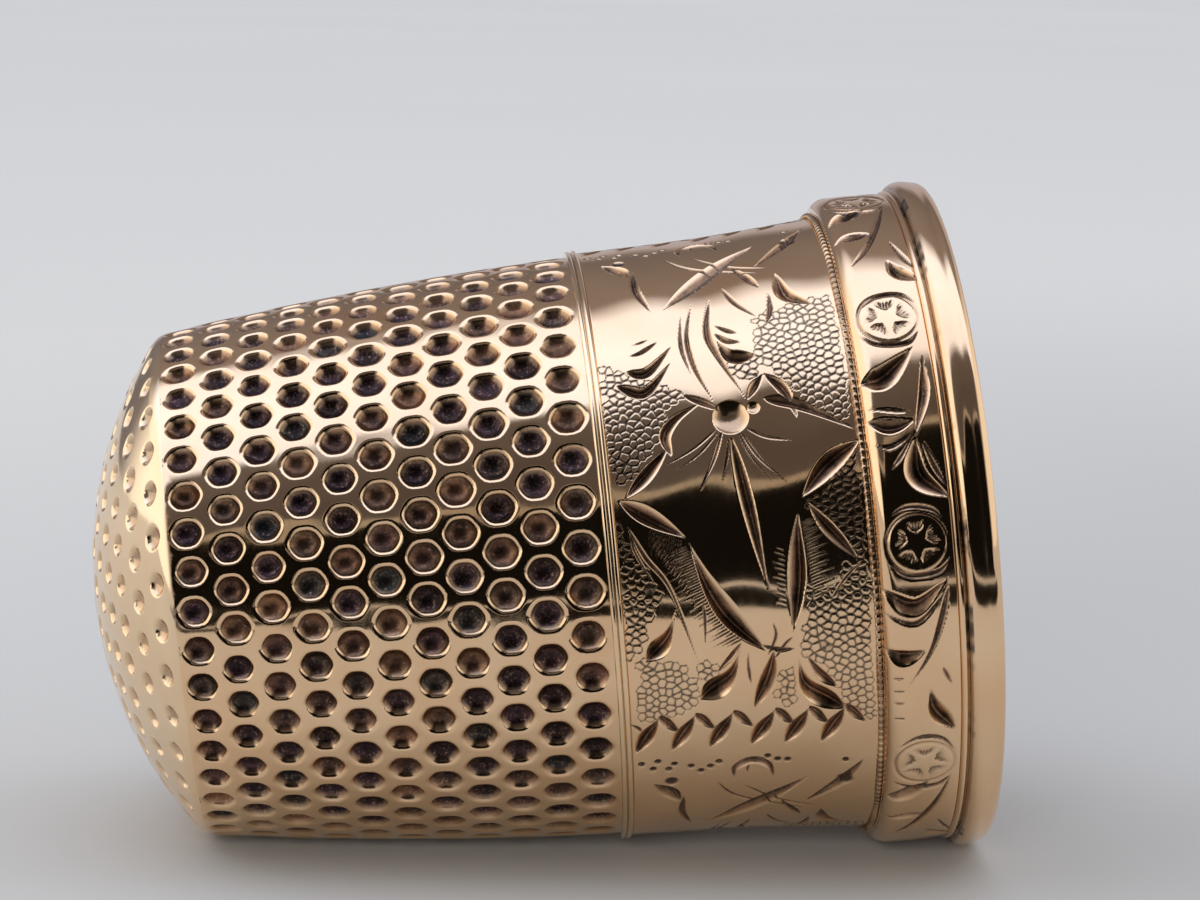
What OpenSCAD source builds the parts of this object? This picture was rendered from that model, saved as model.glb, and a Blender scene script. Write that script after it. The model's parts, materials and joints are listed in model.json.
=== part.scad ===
// Sewing thimble, gold, soldered up from seven turned and drawn rings.
// The thimble lies on its side: the rim and the swell of the wall touch the
// ground (z = 0), the crown points to -X and the open mouth to +X.
// Every section below is drawn upright, mouth down, with z = 0 at the mouth,
// and is then laid down by lie_down().  All sizes are in millimetres.

/* [Crown] */
// radius that rounds the crown into the wall
shoulder_round = 0.60; // [0.3:0.05:1.2]
// height above the mouth of the centre of the crown's dome
dome_centre_z = 11.60; // [9:0.1:13]
// thickness of the crown metal
crown_thickness = 0.56; // [0.4:0.02:0.8]
// length of the crown's spigot inside the wall
crown_spigot_length = 0.80; // [0.5:0.05:1.5]
// outer radius of the crown's spigot
crown_spigot_radius = 6.10; // [5.9:0.02:6.2]
// metal thickness of the crown's spigot
crown_spigot_thickness = 0.30; // [0.2:0.02:0.4]

/* [Pitted wall] */
// outer radius half way up the wall
wall_mid_radius = 7.00; // [6.5:0.05:7.5]
// height above the mouth where that radius is measured
wall_mid_z = 14.40; // [13:0.1:15]
// taper of the wall, radius gained per millimetre towards the mouth
wall_taper = 0.0968; // [0.05:0.005:0.12]
// curvature of the wall, makes it swell slightly
wall_swell = 0.00524; // [0:0.0005:0.008]
// top of the wall, where the crown is soldered on
wall_top_z = 19.40; // [18.5:0.05:20]
// bottom of the visible wall, where the fillet wire sits
wall_bottom_z = 9.21; // [9:0.01:9.6]
// thickness of the wall metal
wall_thickness = 0.56; // [0.45:0.01:0.7]
// number of straight steps that follow the swell of the wall
wall_steps = 8; // [6:1:16]

/* [Engraved band] */
// top of the visible band
band_top_z = 8.93; // [8.7:0.01:9.1]
// outer radius at the top of the band
band_top_radius = 7.44; // [7.3:0.01:7.6]
// outer radius where the band runs under the beaded edge and the border
sleeve_radius = 7.78; // [7.6:0.01:7.9]
// how far the middle of the band is waisted in
band_waist = 0.07; // [0:0.01:0.12]
// thickness of the band metal
band_thickness = 0.45; // [0.4:0.01:0.5]
// number of straight steps that follow the waist of the band
band_steps = 6; // [4:1:12]
// radius of the lap joint between the wall and the band
lap_radius = 7.12; // [7.0:0.01:7.2]
// length of the lap joint between the wall and the band
lap_length = 0.80; // [0.5:0.05:1.5]

/* [Fillet wire] */
// outer radius over the two fine beads
fillet_radius = 7.52; // [7.45:0.01:7.65]
// radius in the fine groove between the beads
fillet_groove_radius = 7.43; // [7.3:0.01:7.5]

/* [Beaded edge] */
// height above the mouth of the top of the beaded wire
bead_top_z = 3.03; // [2.95:0.01:3.1]
// outer radius of the beaded wire
bead_radius = 7.93; // [7.85:0.01:8.0]

/* [Border band] */
// top edge of the border band
border_top_z = 2.87; // [2.7:0.01:2.92]
// bottom edge of the border band
border_bottom_z = 1.07; // [1.0:0.01:1.2]
// radius of the border's rounded top edge
border_edge_round = 0.30; // [0.15:0.01:0.4]
// outer radius of the border's face
border_radius = 8.24; // [8.15:0.01:8.27]
// number of oval medallions round the border
medallion_count = 9; // [4:1:12]
// turn of the medallions about the thimble's axis, in degrees
medallion_turn = -85.2; // [-180:0.2:180]
// how far a medallion stands proud of the border
medallion_height = 0.06; // [0.03:0.01:0.08]

/* [Rim ring] */
// largest radius of the rim
rim_radius = 8.50; // [8.3:0.05:8.8]
// height of the rim's polished face
rim_face_z = 0.85; // [0.7:0.01:0.95]
// radius that rounds the outer edge of the mouth
rim_edge_round = 0.26; // [0.15:0.01:0.35]
// inner radius at the mouth
bore_radius = 7.50; // [7.3:0.05:7.7]
// depth of the seat in the rim that takes the end of the band
rim_seat_z = 0.60; // [0.4:0.05:0.8]
// size of the lead-in chamfer inside the mouth
mouth_chamfer = 0.12; // [0.05:0.01:0.2]

/* [Hidden] */
facets = 96;
gold = [0.83, 0.62, 0.46];
pale_gold = [0.88, 0.70, 0.53];

function wall_r(z) = wall_mid_radius + wall_taper * (wall_mid_z - z)
    - wall_swell * pow(wall_mid_z - z, 2);
function lerp(a, b, t) = a + (b - a) * t;
function arc(cr, cz, r, from, to, n) =
    [for (i = [0:n]) let (a = lerp(from, to, i / n)) [cr + r * cos(a), cz + r * sin(a)]];

// shoulder circle, tangent to the wall, and the dome that is tangent to it
wall_top_radius = wall_r(wall_top_z);
wall_top_slope = atan(wall_taper - 2 * wall_swell * (wall_mid_z - wall_top_z));
shoulder_r = wall_top_radius - shoulder_round * cos(wall_top_slope);
shoulder_z = wall_top_z - shoulder_round * sin(wall_top_slope);
dome_radius = norm([shoulder_r, shoulder_z - dome_centre_z]) + shoulder_round;
thimble_height = dome_centre_z + dome_radius;

// outlines as [radius, height] from the mouth upwards
wall_outline = [for (i = [0:wall_steps])
    let (z = lerp(wall_bottom_z, wall_top_z, i / wall_steps)) [wall_r(z), z]];
rim_outline = concat(
    arc(rim_radius - 0.04 - rim_edge_round, rim_edge_round, rim_edge_round, -90, 0, 6),
    [[rim_radius, 0.52], [rim_radius - 0.02, 0.70], [rim_radius - 0.11, rim_face_z]]);

// the lying thimble leans so that the rim and the wall both touch the ground
lean = max([for (p = rim_outline)
    min([for (q = wall_outline) atan((p[0] - q[0]) / (q[1] - p[1]))])]);
axis_rise = max([for (p = concat(rim_outline, wall_outline)) p[0] * cos(lean) + p[1] * sin(lean)]);
reach_crown = dome_centre_z * cos(lean) + dome_radius;
reach_mouth = max([for (p = rim_outline) p[0] * sin(lean) - p[1] * cos(lean)]);

// lays the upright thimble on its side with its box centred over the origin
module lie_down() {
    translate([(reach_crown - reach_mouth) / 2, 0, axis_rise])
        rotate([0, -(90 + lean), 0]) children();
}

// one ring turned from a closed [radius, height] outline
module turned(outline) {
    rotate_extrude($fn = facets) polygon(outline);
}

// domed cap with a plain shoulder and a short spigot that drops into the wall
module crown() {
    color(pale_gold) lie_down() rotate_extrude($fn = facets) {
        difference() {
            union() {
                intersection() {
                    translate([0, dome_centre_z]) circle(r = dome_radius, $fn = facets);
                    polygon([[0, dome_centre_z],
                             [shoulder_r * 1.2, lerp(dome_centre_z, shoulder_z, 1.2)],
                             [0, thimble_height + 4]]);
                }
                intersection() {
                    translate([shoulder_r, shoulder_z])
                        circle(r = shoulder_round, $fn = facets);
                    translate([0, wall_top_z]) square([wall_mid_radius, 2]);
                }
            }
            translate([0, dome_centre_z])
                circle(r = dome_radius - crown_thickness, $fn = facets);
        }
        translate([crown_spigot_radius - crown_spigot_thickness,
                   wall_top_z - crown_spigot_length])
            square([crown_spigot_thickness, crown_spigot_length + 0.05]);
    }
}

// tapered sleeve that carries the rings of needle pits, bored for the crown's
// spigot at the top and turned down at the bottom to enter the band
module pitted_wall() {
    inside = [for (i = [wall_steps:-1:0])
        let (z = lerp(wall_bottom_z, wall_top_z - crown_spigot_length, i / wall_steps))
            [wall_r(z) - wall_thickness, z]];
    spigot_end_z = band_top_z - lap_length;
    color(gold) lie_down() turned(concat(
        wall_outline,
        [[crown_spigot_radius, wall_top_z],
         [crown_spigot_radius, wall_top_z - crown_spigot_length]],
        inside,
        [[wall_r(wall_bottom_z) - wall_thickness, spigot_end_z],
         [lap_radius, spigot_end_z], [lap_radius, wall_bottom_z]]));
}

// fine double-beaded wire that covers the seam between the wall and the band
module fillet_wire() {
    half = (wall_bottom_z - band_top_z) / 2;
    color(pale_gold) lie_down() turned([
        [lap_radius, band_top_z], [fillet_radius - 0.05, band_top_z],
        [fillet_radius, band_top_z + half * 0.4],
        [fillet_groove_radius, band_top_z + half],
        [fillet_radius - 0.02, wall_bottom_z - half * 0.4],
        [fillet_radius - 0.08, wall_bottom_z], [lap_radius, wall_bottom_z]]);
}

// long sleeve: engraved between the fillet wire and the beaded edge, plain
// below, where the border band is slid over it and its end sits in the rim
module engraved_band() {
    outside = [for (i = [0:band_steps])
        let (t = i / band_steps)
            [lerp(sleeve_radius, band_top_radius, t) - band_waist * sin(180 * t),
             lerp(bead_top_z, band_top_z, t)]];
    lap_end_z = band_top_z - lap_length;
    inner_low = sleeve_radius - band_thickness;
    color(gold) lie_down() turned(concat(
        [[bore_radius, rim_seat_z], [sleeve_radius, rim_seat_z]],
        outside,
        [[lap_radius, band_top_z], [lap_radius, lap_end_z],
         [wall_r(wall_bottom_z) - wall_thickness, lap_end_z], [inner_low, bead_top_z]]));
}

// fine milled wire that finishes the top edge of the border band
module beaded_edge() {
    mid_z = (border_top_z + bead_top_z) / 2;
    color(pale_gold) lie_down() turned([
        [sleeve_radius, border_top_z], [bead_radius - 0.04, border_top_z],
        [bead_radius, mid_z], [bead_radius - 0.05, bead_top_z],
        [sleeve_radius, bead_top_z]]);
}

// raised border with a rounded top edge and a ring of oval medallions
module border_band() {
    medallion_z = (border_top_z + border_bottom_z) / 2 - 0.05;
    color(gold) lie_down() union() {
        turned(concat(
            [[sleeve_radius, border_bottom_z], [border_radius, border_bottom_z],
             [border_radius + 0.02, medallion_z]],
            arc(border_radius - border_edge_round, border_top_z - border_edge_round,
                border_edge_round, 0, 80, 5),
            [[sleeve_radius + 0.10, border_top_z], [sleeve_radius, border_top_z]]));
        intersection() {
            for (k = [0:medallion_count - 1])
                rotate([0, 0, medallion_turn + 360 / medallion_count * k])
                    translate([sleeve_radius + 0.2, 0, medallion_z])
                        rotate([0, 90, 0]) cylinder(r = 0.62, h = 1.2, $fn = 32);
            difference() {
                translate([0, 0, border_bottom_z])
                    cylinder(r = border_radius + medallion_height,
                             h = border_top_z - border_bottom_z, $fn = facets);
                translate([0, 0, border_bottom_z - 1])
                    cylinder(r = border_radius - 0.25,
                             h = border_top_z - border_bottom_z + 2, $fn = facets);
            }
        }
    }
}

// heavy polished ring round the mouth, with a bead moulding on its top edge
// and a counterbored seat for the end of the band
module rim_ring() {
    moulding_z = (rim_face_z + border_bottom_z) / 2;
    moulding = (border_bottom_z - rim_face_z) / 2;
    color(gold) lie_down() turned(concat(
        [[bore_radius, mouth_chamfer], [bore_radius + mouth_chamfer, 0]],
        rim_outline,
        [[border_radius, rim_face_z + 0.01]],
        arc(border_radius - 0.04, moulding_z + 0.01, moulding - 0.01, -80, 80, 4),
        [[border_radius - 0.03, border_bottom_z], [sleeve_radius, border_bottom_z],
         [sleeve_radius, rim_seat_z], [bore_radius, rim_seat_z]]));
}

crown();
pitted_wall();
fillet_wire();
engraved_band();
beaded_edge();
border_band();
rim_ring();
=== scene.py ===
"""Gold sewing thimble, lying on its side on a pale floor.

Every piece is a surface worked out with numpy in the thimble's own terms: a
radius from its axis, a turn round the axis and a height above the mouth, all
in millimetres.  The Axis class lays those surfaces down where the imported
record's mouth_end mount says that the mouth is.
"""

import json
import logging
import math
from dataclasses import dataclass
from enum import Enum

import bpy
import numpy as np
from mathutils import Matrix, Vector


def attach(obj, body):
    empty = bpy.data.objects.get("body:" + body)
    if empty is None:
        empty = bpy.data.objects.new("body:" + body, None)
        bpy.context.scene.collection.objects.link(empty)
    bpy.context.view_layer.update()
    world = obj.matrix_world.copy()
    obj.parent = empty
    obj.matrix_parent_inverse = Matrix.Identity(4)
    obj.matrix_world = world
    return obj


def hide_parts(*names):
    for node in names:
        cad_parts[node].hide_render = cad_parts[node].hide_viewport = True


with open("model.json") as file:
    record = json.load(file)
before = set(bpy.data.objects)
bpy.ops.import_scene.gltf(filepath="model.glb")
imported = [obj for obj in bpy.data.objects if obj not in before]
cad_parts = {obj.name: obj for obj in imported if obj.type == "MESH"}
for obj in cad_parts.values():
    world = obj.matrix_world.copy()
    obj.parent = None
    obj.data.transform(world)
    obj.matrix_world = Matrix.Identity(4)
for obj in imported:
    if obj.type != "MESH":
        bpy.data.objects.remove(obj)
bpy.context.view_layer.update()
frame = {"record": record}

MM = 0.001
TAU = 2 * math.pi
Array = np.ndarray
Colour = tuple[float, float, float]
Spot = tuple[float, float]  # height above the mouth in mm, turn in degrees
Corner = tuple[float, float]  # distance from the axis and height above the mouth, mm
Window = tuple[tuple[Array, Array], Array, Array]  # index, heights, distances round
TINY = 0.004  # mm, the step over which a surface's slope is taken
INNER_RECESS, INNER_TINT = 0.12, 0.1  # of the plain metal that a finger touches
log = logging.getLogger("thimble")


class Slot(Enum):
    """The record's material slots."""

    ROSE = "rose_gold"
    PALE = "pale_gold"


# ---------------------------------------------------------------- placing


@dataclass(frozen=True)
class Axis:
    """The thimble's axis in the shared frame, from the record's mount."""

    mouth: Array
    outward: Array
    datum: float = math.radians(-8.36)

    @classmethod
    def from_record(cls, record: dict) -> "Axis":
        """Read the axis from the mouth_end mount.

        Args:
            record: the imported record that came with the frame.

        Returns:
            The axis, with its mouth point in millimetres.
        """
        mount = next(m for m in record["mounts"] if m["name"] == "mouth_end")
        x, _, z = mount["pos_m"]
        outward = np.array(mount["axis"], float)
        return cls(np.array([x, 0.0, z]) / MM, outward / np.linalg.norm(outward))

    def place(self, radius: Array, turn: Array, height: Array) -> Array:
        """Turn thimble terms into points: mouth - height * axis + radius * spoke.

        The spoke points to the front (-Y) at the datum and swings down as the
        turn grows.

        Args:
            radius: distance from the axis, mm.
            turn: angle round the axis from the datum, radians.
            height: distance from the mouth towards the crown, mm.

        Returns:
            Points in mm, with one more axis of length 3.
        """
        front = np.array([0.0, -1.0, 0.0])
        down = np.array([self.outward[2], 0.0, -self.outward[0]])
        angle = np.asarray(turn)[..., None] + self.datum
        spoke = np.cos(angle) * front + np.sin(angle) * down
        return (self.mouth - np.asarray(height)[..., None] * self.outward
                + np.asarray(radius)[..., None] * spoke)


# ---------------------------------------------------------------- small maths


def unit(v: Array) -> Array:
    """Vectors divided by their lengths, with nought left as nought."""
    return v / np.maximum(np.linalg.norm(v, axis=-1, keepdims=True), 1e-12)


def smooth(low: float, high: float, x: Array) -> Array:
    """Smooth step: 3t^2 - 2t^3 with t the place of x between low and high."""
    t = np.clip((x - low) / (high - low), 0.0, 1.0)
    return t * t * (3 - 2 * t)


def wrap(angle: Array, period: float) -> Array:
    """Angle brought to within half a period of nought."""
    return angle - period * np.round(angle / period)


def arc(centre: Corner, radius: float, start: float, end: float, count: int) -> Array:
    """Points of a circular arc: centre + radius * (cos, sin) of the swept angle.

    Args:
        centre: (radius, height) of the centre.
        radius: the arc's own radius.
        start: first angle in degrees, nought pointing away from the axis.
        end: last angle in degrees.
        count: number of points.

    Returns:
        An array of (radius, height) rows.
    """
    a = np.radians(np.linspace(start, end, count))
    return np.stack([centre[0] + radius * np.cos(a), centre[1] + radius * np.sin(a)], 1)


def eased(corners: Array, size: float) -> Array:
    """Profile with each corner eased by a quarter curve of three points.

    A corner c between points a and b becomes c + size * (a - c), the mean of
    the two ends and c, and c + size * (b - c), with the directions at unit
    length.

    Args:
        corners: (n, 2) corners of an open profile; the two ends are kept.
        size: how far from the corner the easing starts, mm.

    Returns:
        The eased profile.
    """
    mid = corners[1:-1]
    before = mid + size * unit(corners[:-2] - mid)
    after = mid + size * unit(corners[2:] - mid)
    eased_mid = np.stack([before, (before + after + 2 * mid) / 4, after], 1).reshape(-1, 2)
    return np.vstack([corners[:1], eased_mid, corners[-1:]])


def curve_through(points: Array, count: int) -> Array:
    """Smooth curve through points, the Catmull-Rom blend of each four in turn.

    Args:
        points: (n, 2) points on the curve, n at least 2.
        count: number of points to return.

    Returns:
        (count, 2) points, even in the curve's own parameter.
    """
    p = np.vstack([2 * points[:1] - points[1:2], points, 2 * points[-1:] - points[-2:-1]])
    s = np.linspace(0, len(points) - 1, count)
    i = np.minimum(s.astype(int), len(points) - 2)
    t = (s - i)[:, None]
    a, b, c, d = p[i], p[i + 1], p[i + 2], p[i + 3]
    return 0.5 * (2 * b + (c - a) * t + (2 * a - 5 * b + 4 * c - d) * t**2
                  + (3 * b - a - 3 * c + d) * t**3)


def quads(index: Array, around: bool = False, looped: bool = False) -> Array:
    """Faces between neighbouring rows and columns of a grid of vertex numbers.

    Args:
        index: (rows, columns) vertex numbers.
        around: whether the last column joins the first.
        looped: whether the last row joins the first.

    Returns:
        (n, 4) faces that point outwards when rows climb the outside.
    """
    if around:
        index = np.hstack([index, index[:, :1]])
    if looped:
        index = np.vstack([index, index[:1]])
    return np.stack([index[:-1, :-1], index[1:, :-1], index[1:, 1:], index[:-1, 1:]],
                    -1).reshape(-1, 4)


def fan_strip(fine: Array, coarse: Array) -> Array:
    """Triangles between a fine loop and a coarse loop of vertex numbers.

    Coarse point k is joined to the m fine points that follow fine point k * m,
    where m is how many times finer the fine loop is.

    Args:
        fine: vertex numbers of the fine loop.
        coarse: vertex numbers of the coarse loop.

    Returns:
        (n, 3) faces.
    """
    m = len(fine) // len(coarse)
    ahead = np.roll(fine, -1)
    fans = np.stack([fine, ahead, np.repeat(coarse, m)], 1)
    steps = np.stack([ahead[m - 1::m], np.roll(coarse, -1), coarse], 1)
    return np.vstack([fans, steps])


def grid_normals(points: Array, around: bool, looped: bool) -> Array:
    """Normals of a grid: the cross product of its row and column directions.

    Each direction is the sum of the unit steps to the two neighbours, so that
    uneven spacing doesn't tilt it.

    Args:
        points: (rows, columns, 3) points.
        around: whether columns close on themselves.
        looped: whether rows close on themselves.

    Returns:
        (rows, columns, 3) unit normals.
    """
    def along(p: Array, closed: bool) -> Array:
        """Work out the unit direction along the first axis.

        Args:
            p: points, that axis first.
            closed: whether the axis closes on itself.

        Returns:
            Unit vectors, same shape as p.
        """
        step = unit(np.diff(p, axis=0, append=p[:1]))
        if not closed:
            step[-1] = step[-2]
        back = np.roll(step, 1, axis=0)
        if not closed:
            back[0] = step[0]
        return unit(step + back)

    rows = along(points, looped)
    columns = np.swapaxes(along(np.swapaxes(points, 0, 1), around), 0, 1)
    return unit(np.cross(rows, columns))


# ---------------------------------------------------------------- meshes


@dataclass
class Skin:
    """Points, faces, normals and surface values gathered for one mesh."""

    points: Array
    normals: Array
    faces: list[Array]
    recess: Array
    tint: Array | None = None

    def mesh_object(self, name: str) -> bpy.types.Object:
        """Write the skin into a mesh object whose place is in its points.

        Args:
            name: the piece's name.

        Returns:
            The new object, linked to the scene.
        """
        widths = np.concatenate([np.full(len(f), f.shape[1]) for f in self.faces])
        corners = np.concatenate([f.ravel() for f in self.faces])
        mesh = bpy.data.meshes.new(name)
        mesh.vertices.add(len(self.points))
        mesh.vertices.foreach_set("co", (self.points * MM).astype(np.float32).ravel())
        mesh.loops.add(len(corners))
        mesh.loops.foreach_set("vertex_index", corners.astype(np.int32))
        mesh.polygons.add(len(widths))
        mesh.polygons.foreach_set(
            "loop_start", np.concatenate([[0], np.cumsum(widths)[:-1]]).astype(np.int32))
        mesh.update(calc_edges=True)
        mesh.validate()
        mesh.polygons.foreach_set("use_smooth", np.ones(len(mesh.polygons), bool))
        for label, values in (("recess", self.recess), ("tint", self.tint)):
            if values is not None:
                layer = mesh.attributes.new(label, "FLOAT", "POINT")
                layer.data.foreach_set("value", values.astype(np.float32))
        mesh.normals_split_custom_set_from_vertices(self.normals.astype(np.float32))
        piece = bpy.data.objects.new(name, mesh)
        bpy.context.scene.collection.objects.link(piece)
        return piece


@dataclass
class Merged:
    """Points left after doubles are merged, and which of the old ones they are."""

    points: Array
    kept: Array


def merge_points(points: Array, faces: list[Array]) -> tuple[Merged, list[Array]]:
    """Merge points that share a place to within a ten-thousandth of a mm.

    Args:
        points: (n, 3) points.
        faces: arrays of faces on those points.

    Returns:
        The merged points and the renumbered faces.
    """
    keys = np.round(points * 1e4).astype(np.int64)
    _, kept, back = np.unique(keys, axis=0, return_index=True, return_inverse=True)
    back = back.ravel()
    return Merged(points[kept], kept), [back[f] for f in faces]


def dressed(piece: bpy.types.Object, finish: bpy.types.Material, slot: Slot,
            *nodes: str) -> bpy.types.Object:
    """Give a piece its material and body, and hide the nodes it stands for.

    Args:
        piece: the mesh object.
        finish: its material.
        slot: the record's material slot; not used.
        *nodes: the CAD nodes it replaces.

    Returns:
        The same piece.
    """
    piece.data.materials.append(finish)
    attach(piece, "root")
    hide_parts(*nodes)
    return piece


@dataclass(frozen=True)
class Lathe:
    """A closed outline carried round the axis."""

    axis: Axis

    def ring(self, outline: Array, columns: int, relief: Array | None = None,
             recess: Array | None = None, start: float = 0.0, sweep: float = TAU) -> Skin:
        """Carry a closed outline round the axis: point = place(r, turn, z).

        Relief moves a point along the outline's own outward normal before it
        is carried round.  A sweep short of a full turn is closed at both ends.

        Args:
            outline: (n, 2) closed outline, climbing the outside first.
            columns: number of steps round the sweep.
            relief: (n, columns or columns + 1) outward movement, mm.
            recess: how dark and sheltered each point is, same shape.
            start: first turn, radians.
            sweep: how far round it goes, radians.

        Returns:
            The skin of the ring.
        """
        full = abs(sweep - TAU) < 1e-9
        count = columns if full else columns + 1
        turn = start + sweep * np.arange(count) / columns
        step = unit(np.roll(outline, -1, 0) - outline)
        along = unit(step + np.roll(step, 1, 0))
        out = np.stack([along[:, 1], -along[:, 0]], 1)
        lift = np.zeros((len(outline), count)) if relief is None else relief
        radius = outline[:, :1] + out[:, :1] * lift
        height = outline[:, 1:] + out[:, 1:] * lift
        points = self.axis.place(radius, np.broadcast_to(turn, radius.shape), height)
        index = np.arange(len(outline) * count).reshape(len(outline), count)
        faces = [quads(index, around=full, looped=True)]
        if not full:
            faces += [index[None, ::-1, 0], index[None, :, -1]]
        shade = np.zeros(lift.shape) if recess is None else recess
        return Skin(points.reshape(-1, 3), grid_normals(points, full, True).reshape(-1, 3),
                    faces, shade.ravel())


# ---------------------------------------------------------------- finishes


class Nodes:
    """Short way to add and join the nodes of one tree."""

    def __init__(self, tree: bpy.types.NodeTree) -> None:
        """Start with an empty tree."""
        self.tree = tree
        tree.nodes.clear()

    def add(self, kind: str, settings: dict | None = None, **inputs: object) -> bpy.types.Node:
        """Add a node.

        Args:
            kind: the node's type without its ShaderNode prefix.
            settings: properties to set on it.
            **inputs: sockets by name, with _ for a space, or by number as i0,
                i1; a value is a constant or another node's output socket.

        Returns:
            The node.
        """
        node = self.tree.nodes.new("ShaderNode" + kind)
        for key, value in (settings or {}).items():
            setattr(node, key, value)
        for key, value in inputs.items():
            by_number = key[0] == "i" and key[1:].isdigit()
            socket = node.inputs[int(key[1:])] if by_number else node.inputs[key.replace("_", " ")]
            if isinstance(value, bpy.types.NodeSocket):
                self.tree.links.new(value, socket)
            else:
                socket.default_value = value
        return node

    def sum(self, operation: str, a: object, b: object = 0.0, c: object = 0.0,
            clamp: bool = False) -> bpy.types.NodeSocket:
        """Result of one Math node on up to three numbers or sockets."""
        node = self.add("Math", {"operation": operation, "use_clamp": clamp}, i0=a, i1=b, i2=c)
        return node.outputs[0]

    def blend(self, share: object, a: object, b: object, mode: str = "MIX") -> bpy.types.NodeSocket:
        """Colour between a and b by share."""
        node = self.add("Mix", {"data_type": "RGBA", "blend_type": mode}, i0=share, i6=a, i7=b)
        return node.outputs[2]

    def ramp(self, value: object, stops: list[tuple[float, Colour]]) -> bpy.types.NodeSocket:
        """Colour of a ramp at a value.

        Args:
            value: the socket to read.
            stops: (place, colour) of each stop.

        Returns:
            The ramp's colour socket.
        """
        node = self.add("ValToRGB", None, Fac=value)
        while len(node.color_ramp.elements) < len(stops):
            node.color_ramp.elements.new(1.0)
        for element, (place, colour) in zip(node.color_ramp.elements, stops):
            element.position = place
            element.color = (*colour, 1.0)
        return node.outputs[0]


@dataclass(frozen=True)
class GoldFinish:
    """Polished gold, darkened where cloth and fingers don't reach and where shade is painted."""

    name: str
    bright: Colour = (0.94, 0.66, 0.405)
    warm: Colour = (0.87, 0.56, 0.318)
    polish: float = 0.085
    tarnish: tuple[Colour, ...] = ((0.058, 0.032, 0.025), (0.085, 0.046, 0.054),
                                   (0.340, 0.165, 0.085), (0.034, 0.040, 0.040),
                                   (0.420, 0.225, 0.125))
    cloud_scale: float = 420.0
    patch_scale: float = 2300.0
    grain_scale: float = 14000.0
    scuff_scale: tuple[float, float, float] = (9000.0, 900.0, 2600.0)
    sparkle: Colour = (0.62, 0.38, 0.24)
    soot: Colour = (0.014, 0.011, 0.012)

    def material(self) -> bpy.types.Material:
        """Make the node material.

        The recess value turns clean metal into the tarnish of the tint value,
        and past one into soot.  Noise on Object coordinates breaks all of it up.

        Returns:
            A metal whose colour, gloss and fine grain follow the recess and
            tint values of the surface.
        """
        material = bpy.data.materials.new(self.name)
        material.use_nodes = True
        n = Nodes(material.node_tree)
        place = n.add("TexCoord").outputs["Object"]
        recess = n.add("Attribute", {"attribute_name": "recess"}).outputs["Fac"]
        tint = n.add("Attribute", {"attribute_name": "tint"}).outputs["Fac"]
        cloud = n.add("TexNoise", None, Vector=place, Scale=self.cloud_scale,
                      Detail=3.0).outputs["Fac"]
        grain = n.add("TexNoise", None, Vector=place, Scale=self.grain_scale, Detail=4.0,
                      Roughness=0.65).outputs["Fac"]
        patch = n.add("TexNoise", None, Vector=place, Scale=self.patch_scale,
                      Detail=2.0).outputs["Fac"]
        scuff_place = n.add("Mapping", None, Vector=place, Scale=self.scuff_scale).outputs[0]
        scuff = n.add("TexNoise", None, Vector=scuff_place, Scale=1.0, Detail=3.0).outputs["Fac"]

        metal = n.blend(n.sum("MULTIPLY_ADD", cloud, 2.2, -0.6, clamp=True),
                        (*self.bright, 1.0), (*self.warm, 1.0))
        stops = [((k + 0.5) / len(self.tarnish), c) for k, c in enumerate(self.tarnish)]
        film = n.ramp(tint, stops)
        film = n.blend(n.sum("MULTIPLY_ADD", patch, 3.0, -1.2, clamp=True), film,
                       (0.022, 0.016, 0.018, 1.0))
        film = n.blend(n.sum("MULTIPLY_ADD", grain, 3.6, -1.95, clamp=True), film,
                       (*self.sparkle, 1.0))
        film = n.blend(n.sum("MULTIPLY_ADD", recess, 1.5, -1.55, clamp=True), film,
                       (*self.soot, 1.0))
        patchy = n.sum("MULTIPLY_ADD", grain, 0.7, -0.35)
        dark = n.sum("MULTIPLY_ADD", n.sum("MULTIPLY", recess, n.sum("SUBTRACT", 1.0, recess)),
                     patchy, recess, clamp=True)
        colour = n.blend(dark, metal, film)
        gloss = n.sum("MULTIPLY_ADD", recess, 0.26, n.sum("MULTIPLY_ADD", scuff, 0.08,
                                                         self.polish - 0.04))
        height = n.sum("ADD", n.sum("MULTIPLY", grain, n.sum("MULTIPLY_ADD", recess, 4.0, 0.20)),
                       n.sum("MULTIPLY", scuff, 0.10))
        bump = n.add("Bump", None, Strength=0.35, Distance=0.000004, Height=height).outputs[0]
        shader = n.add("BsdfPrincipled", None, Base_Color=colour, Metallic=1.0,
                       Roughness=gloss, Normal=bump)
        n.add("OutputMaterial", None, Surface=shader.outputs[0])
        return material


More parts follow.
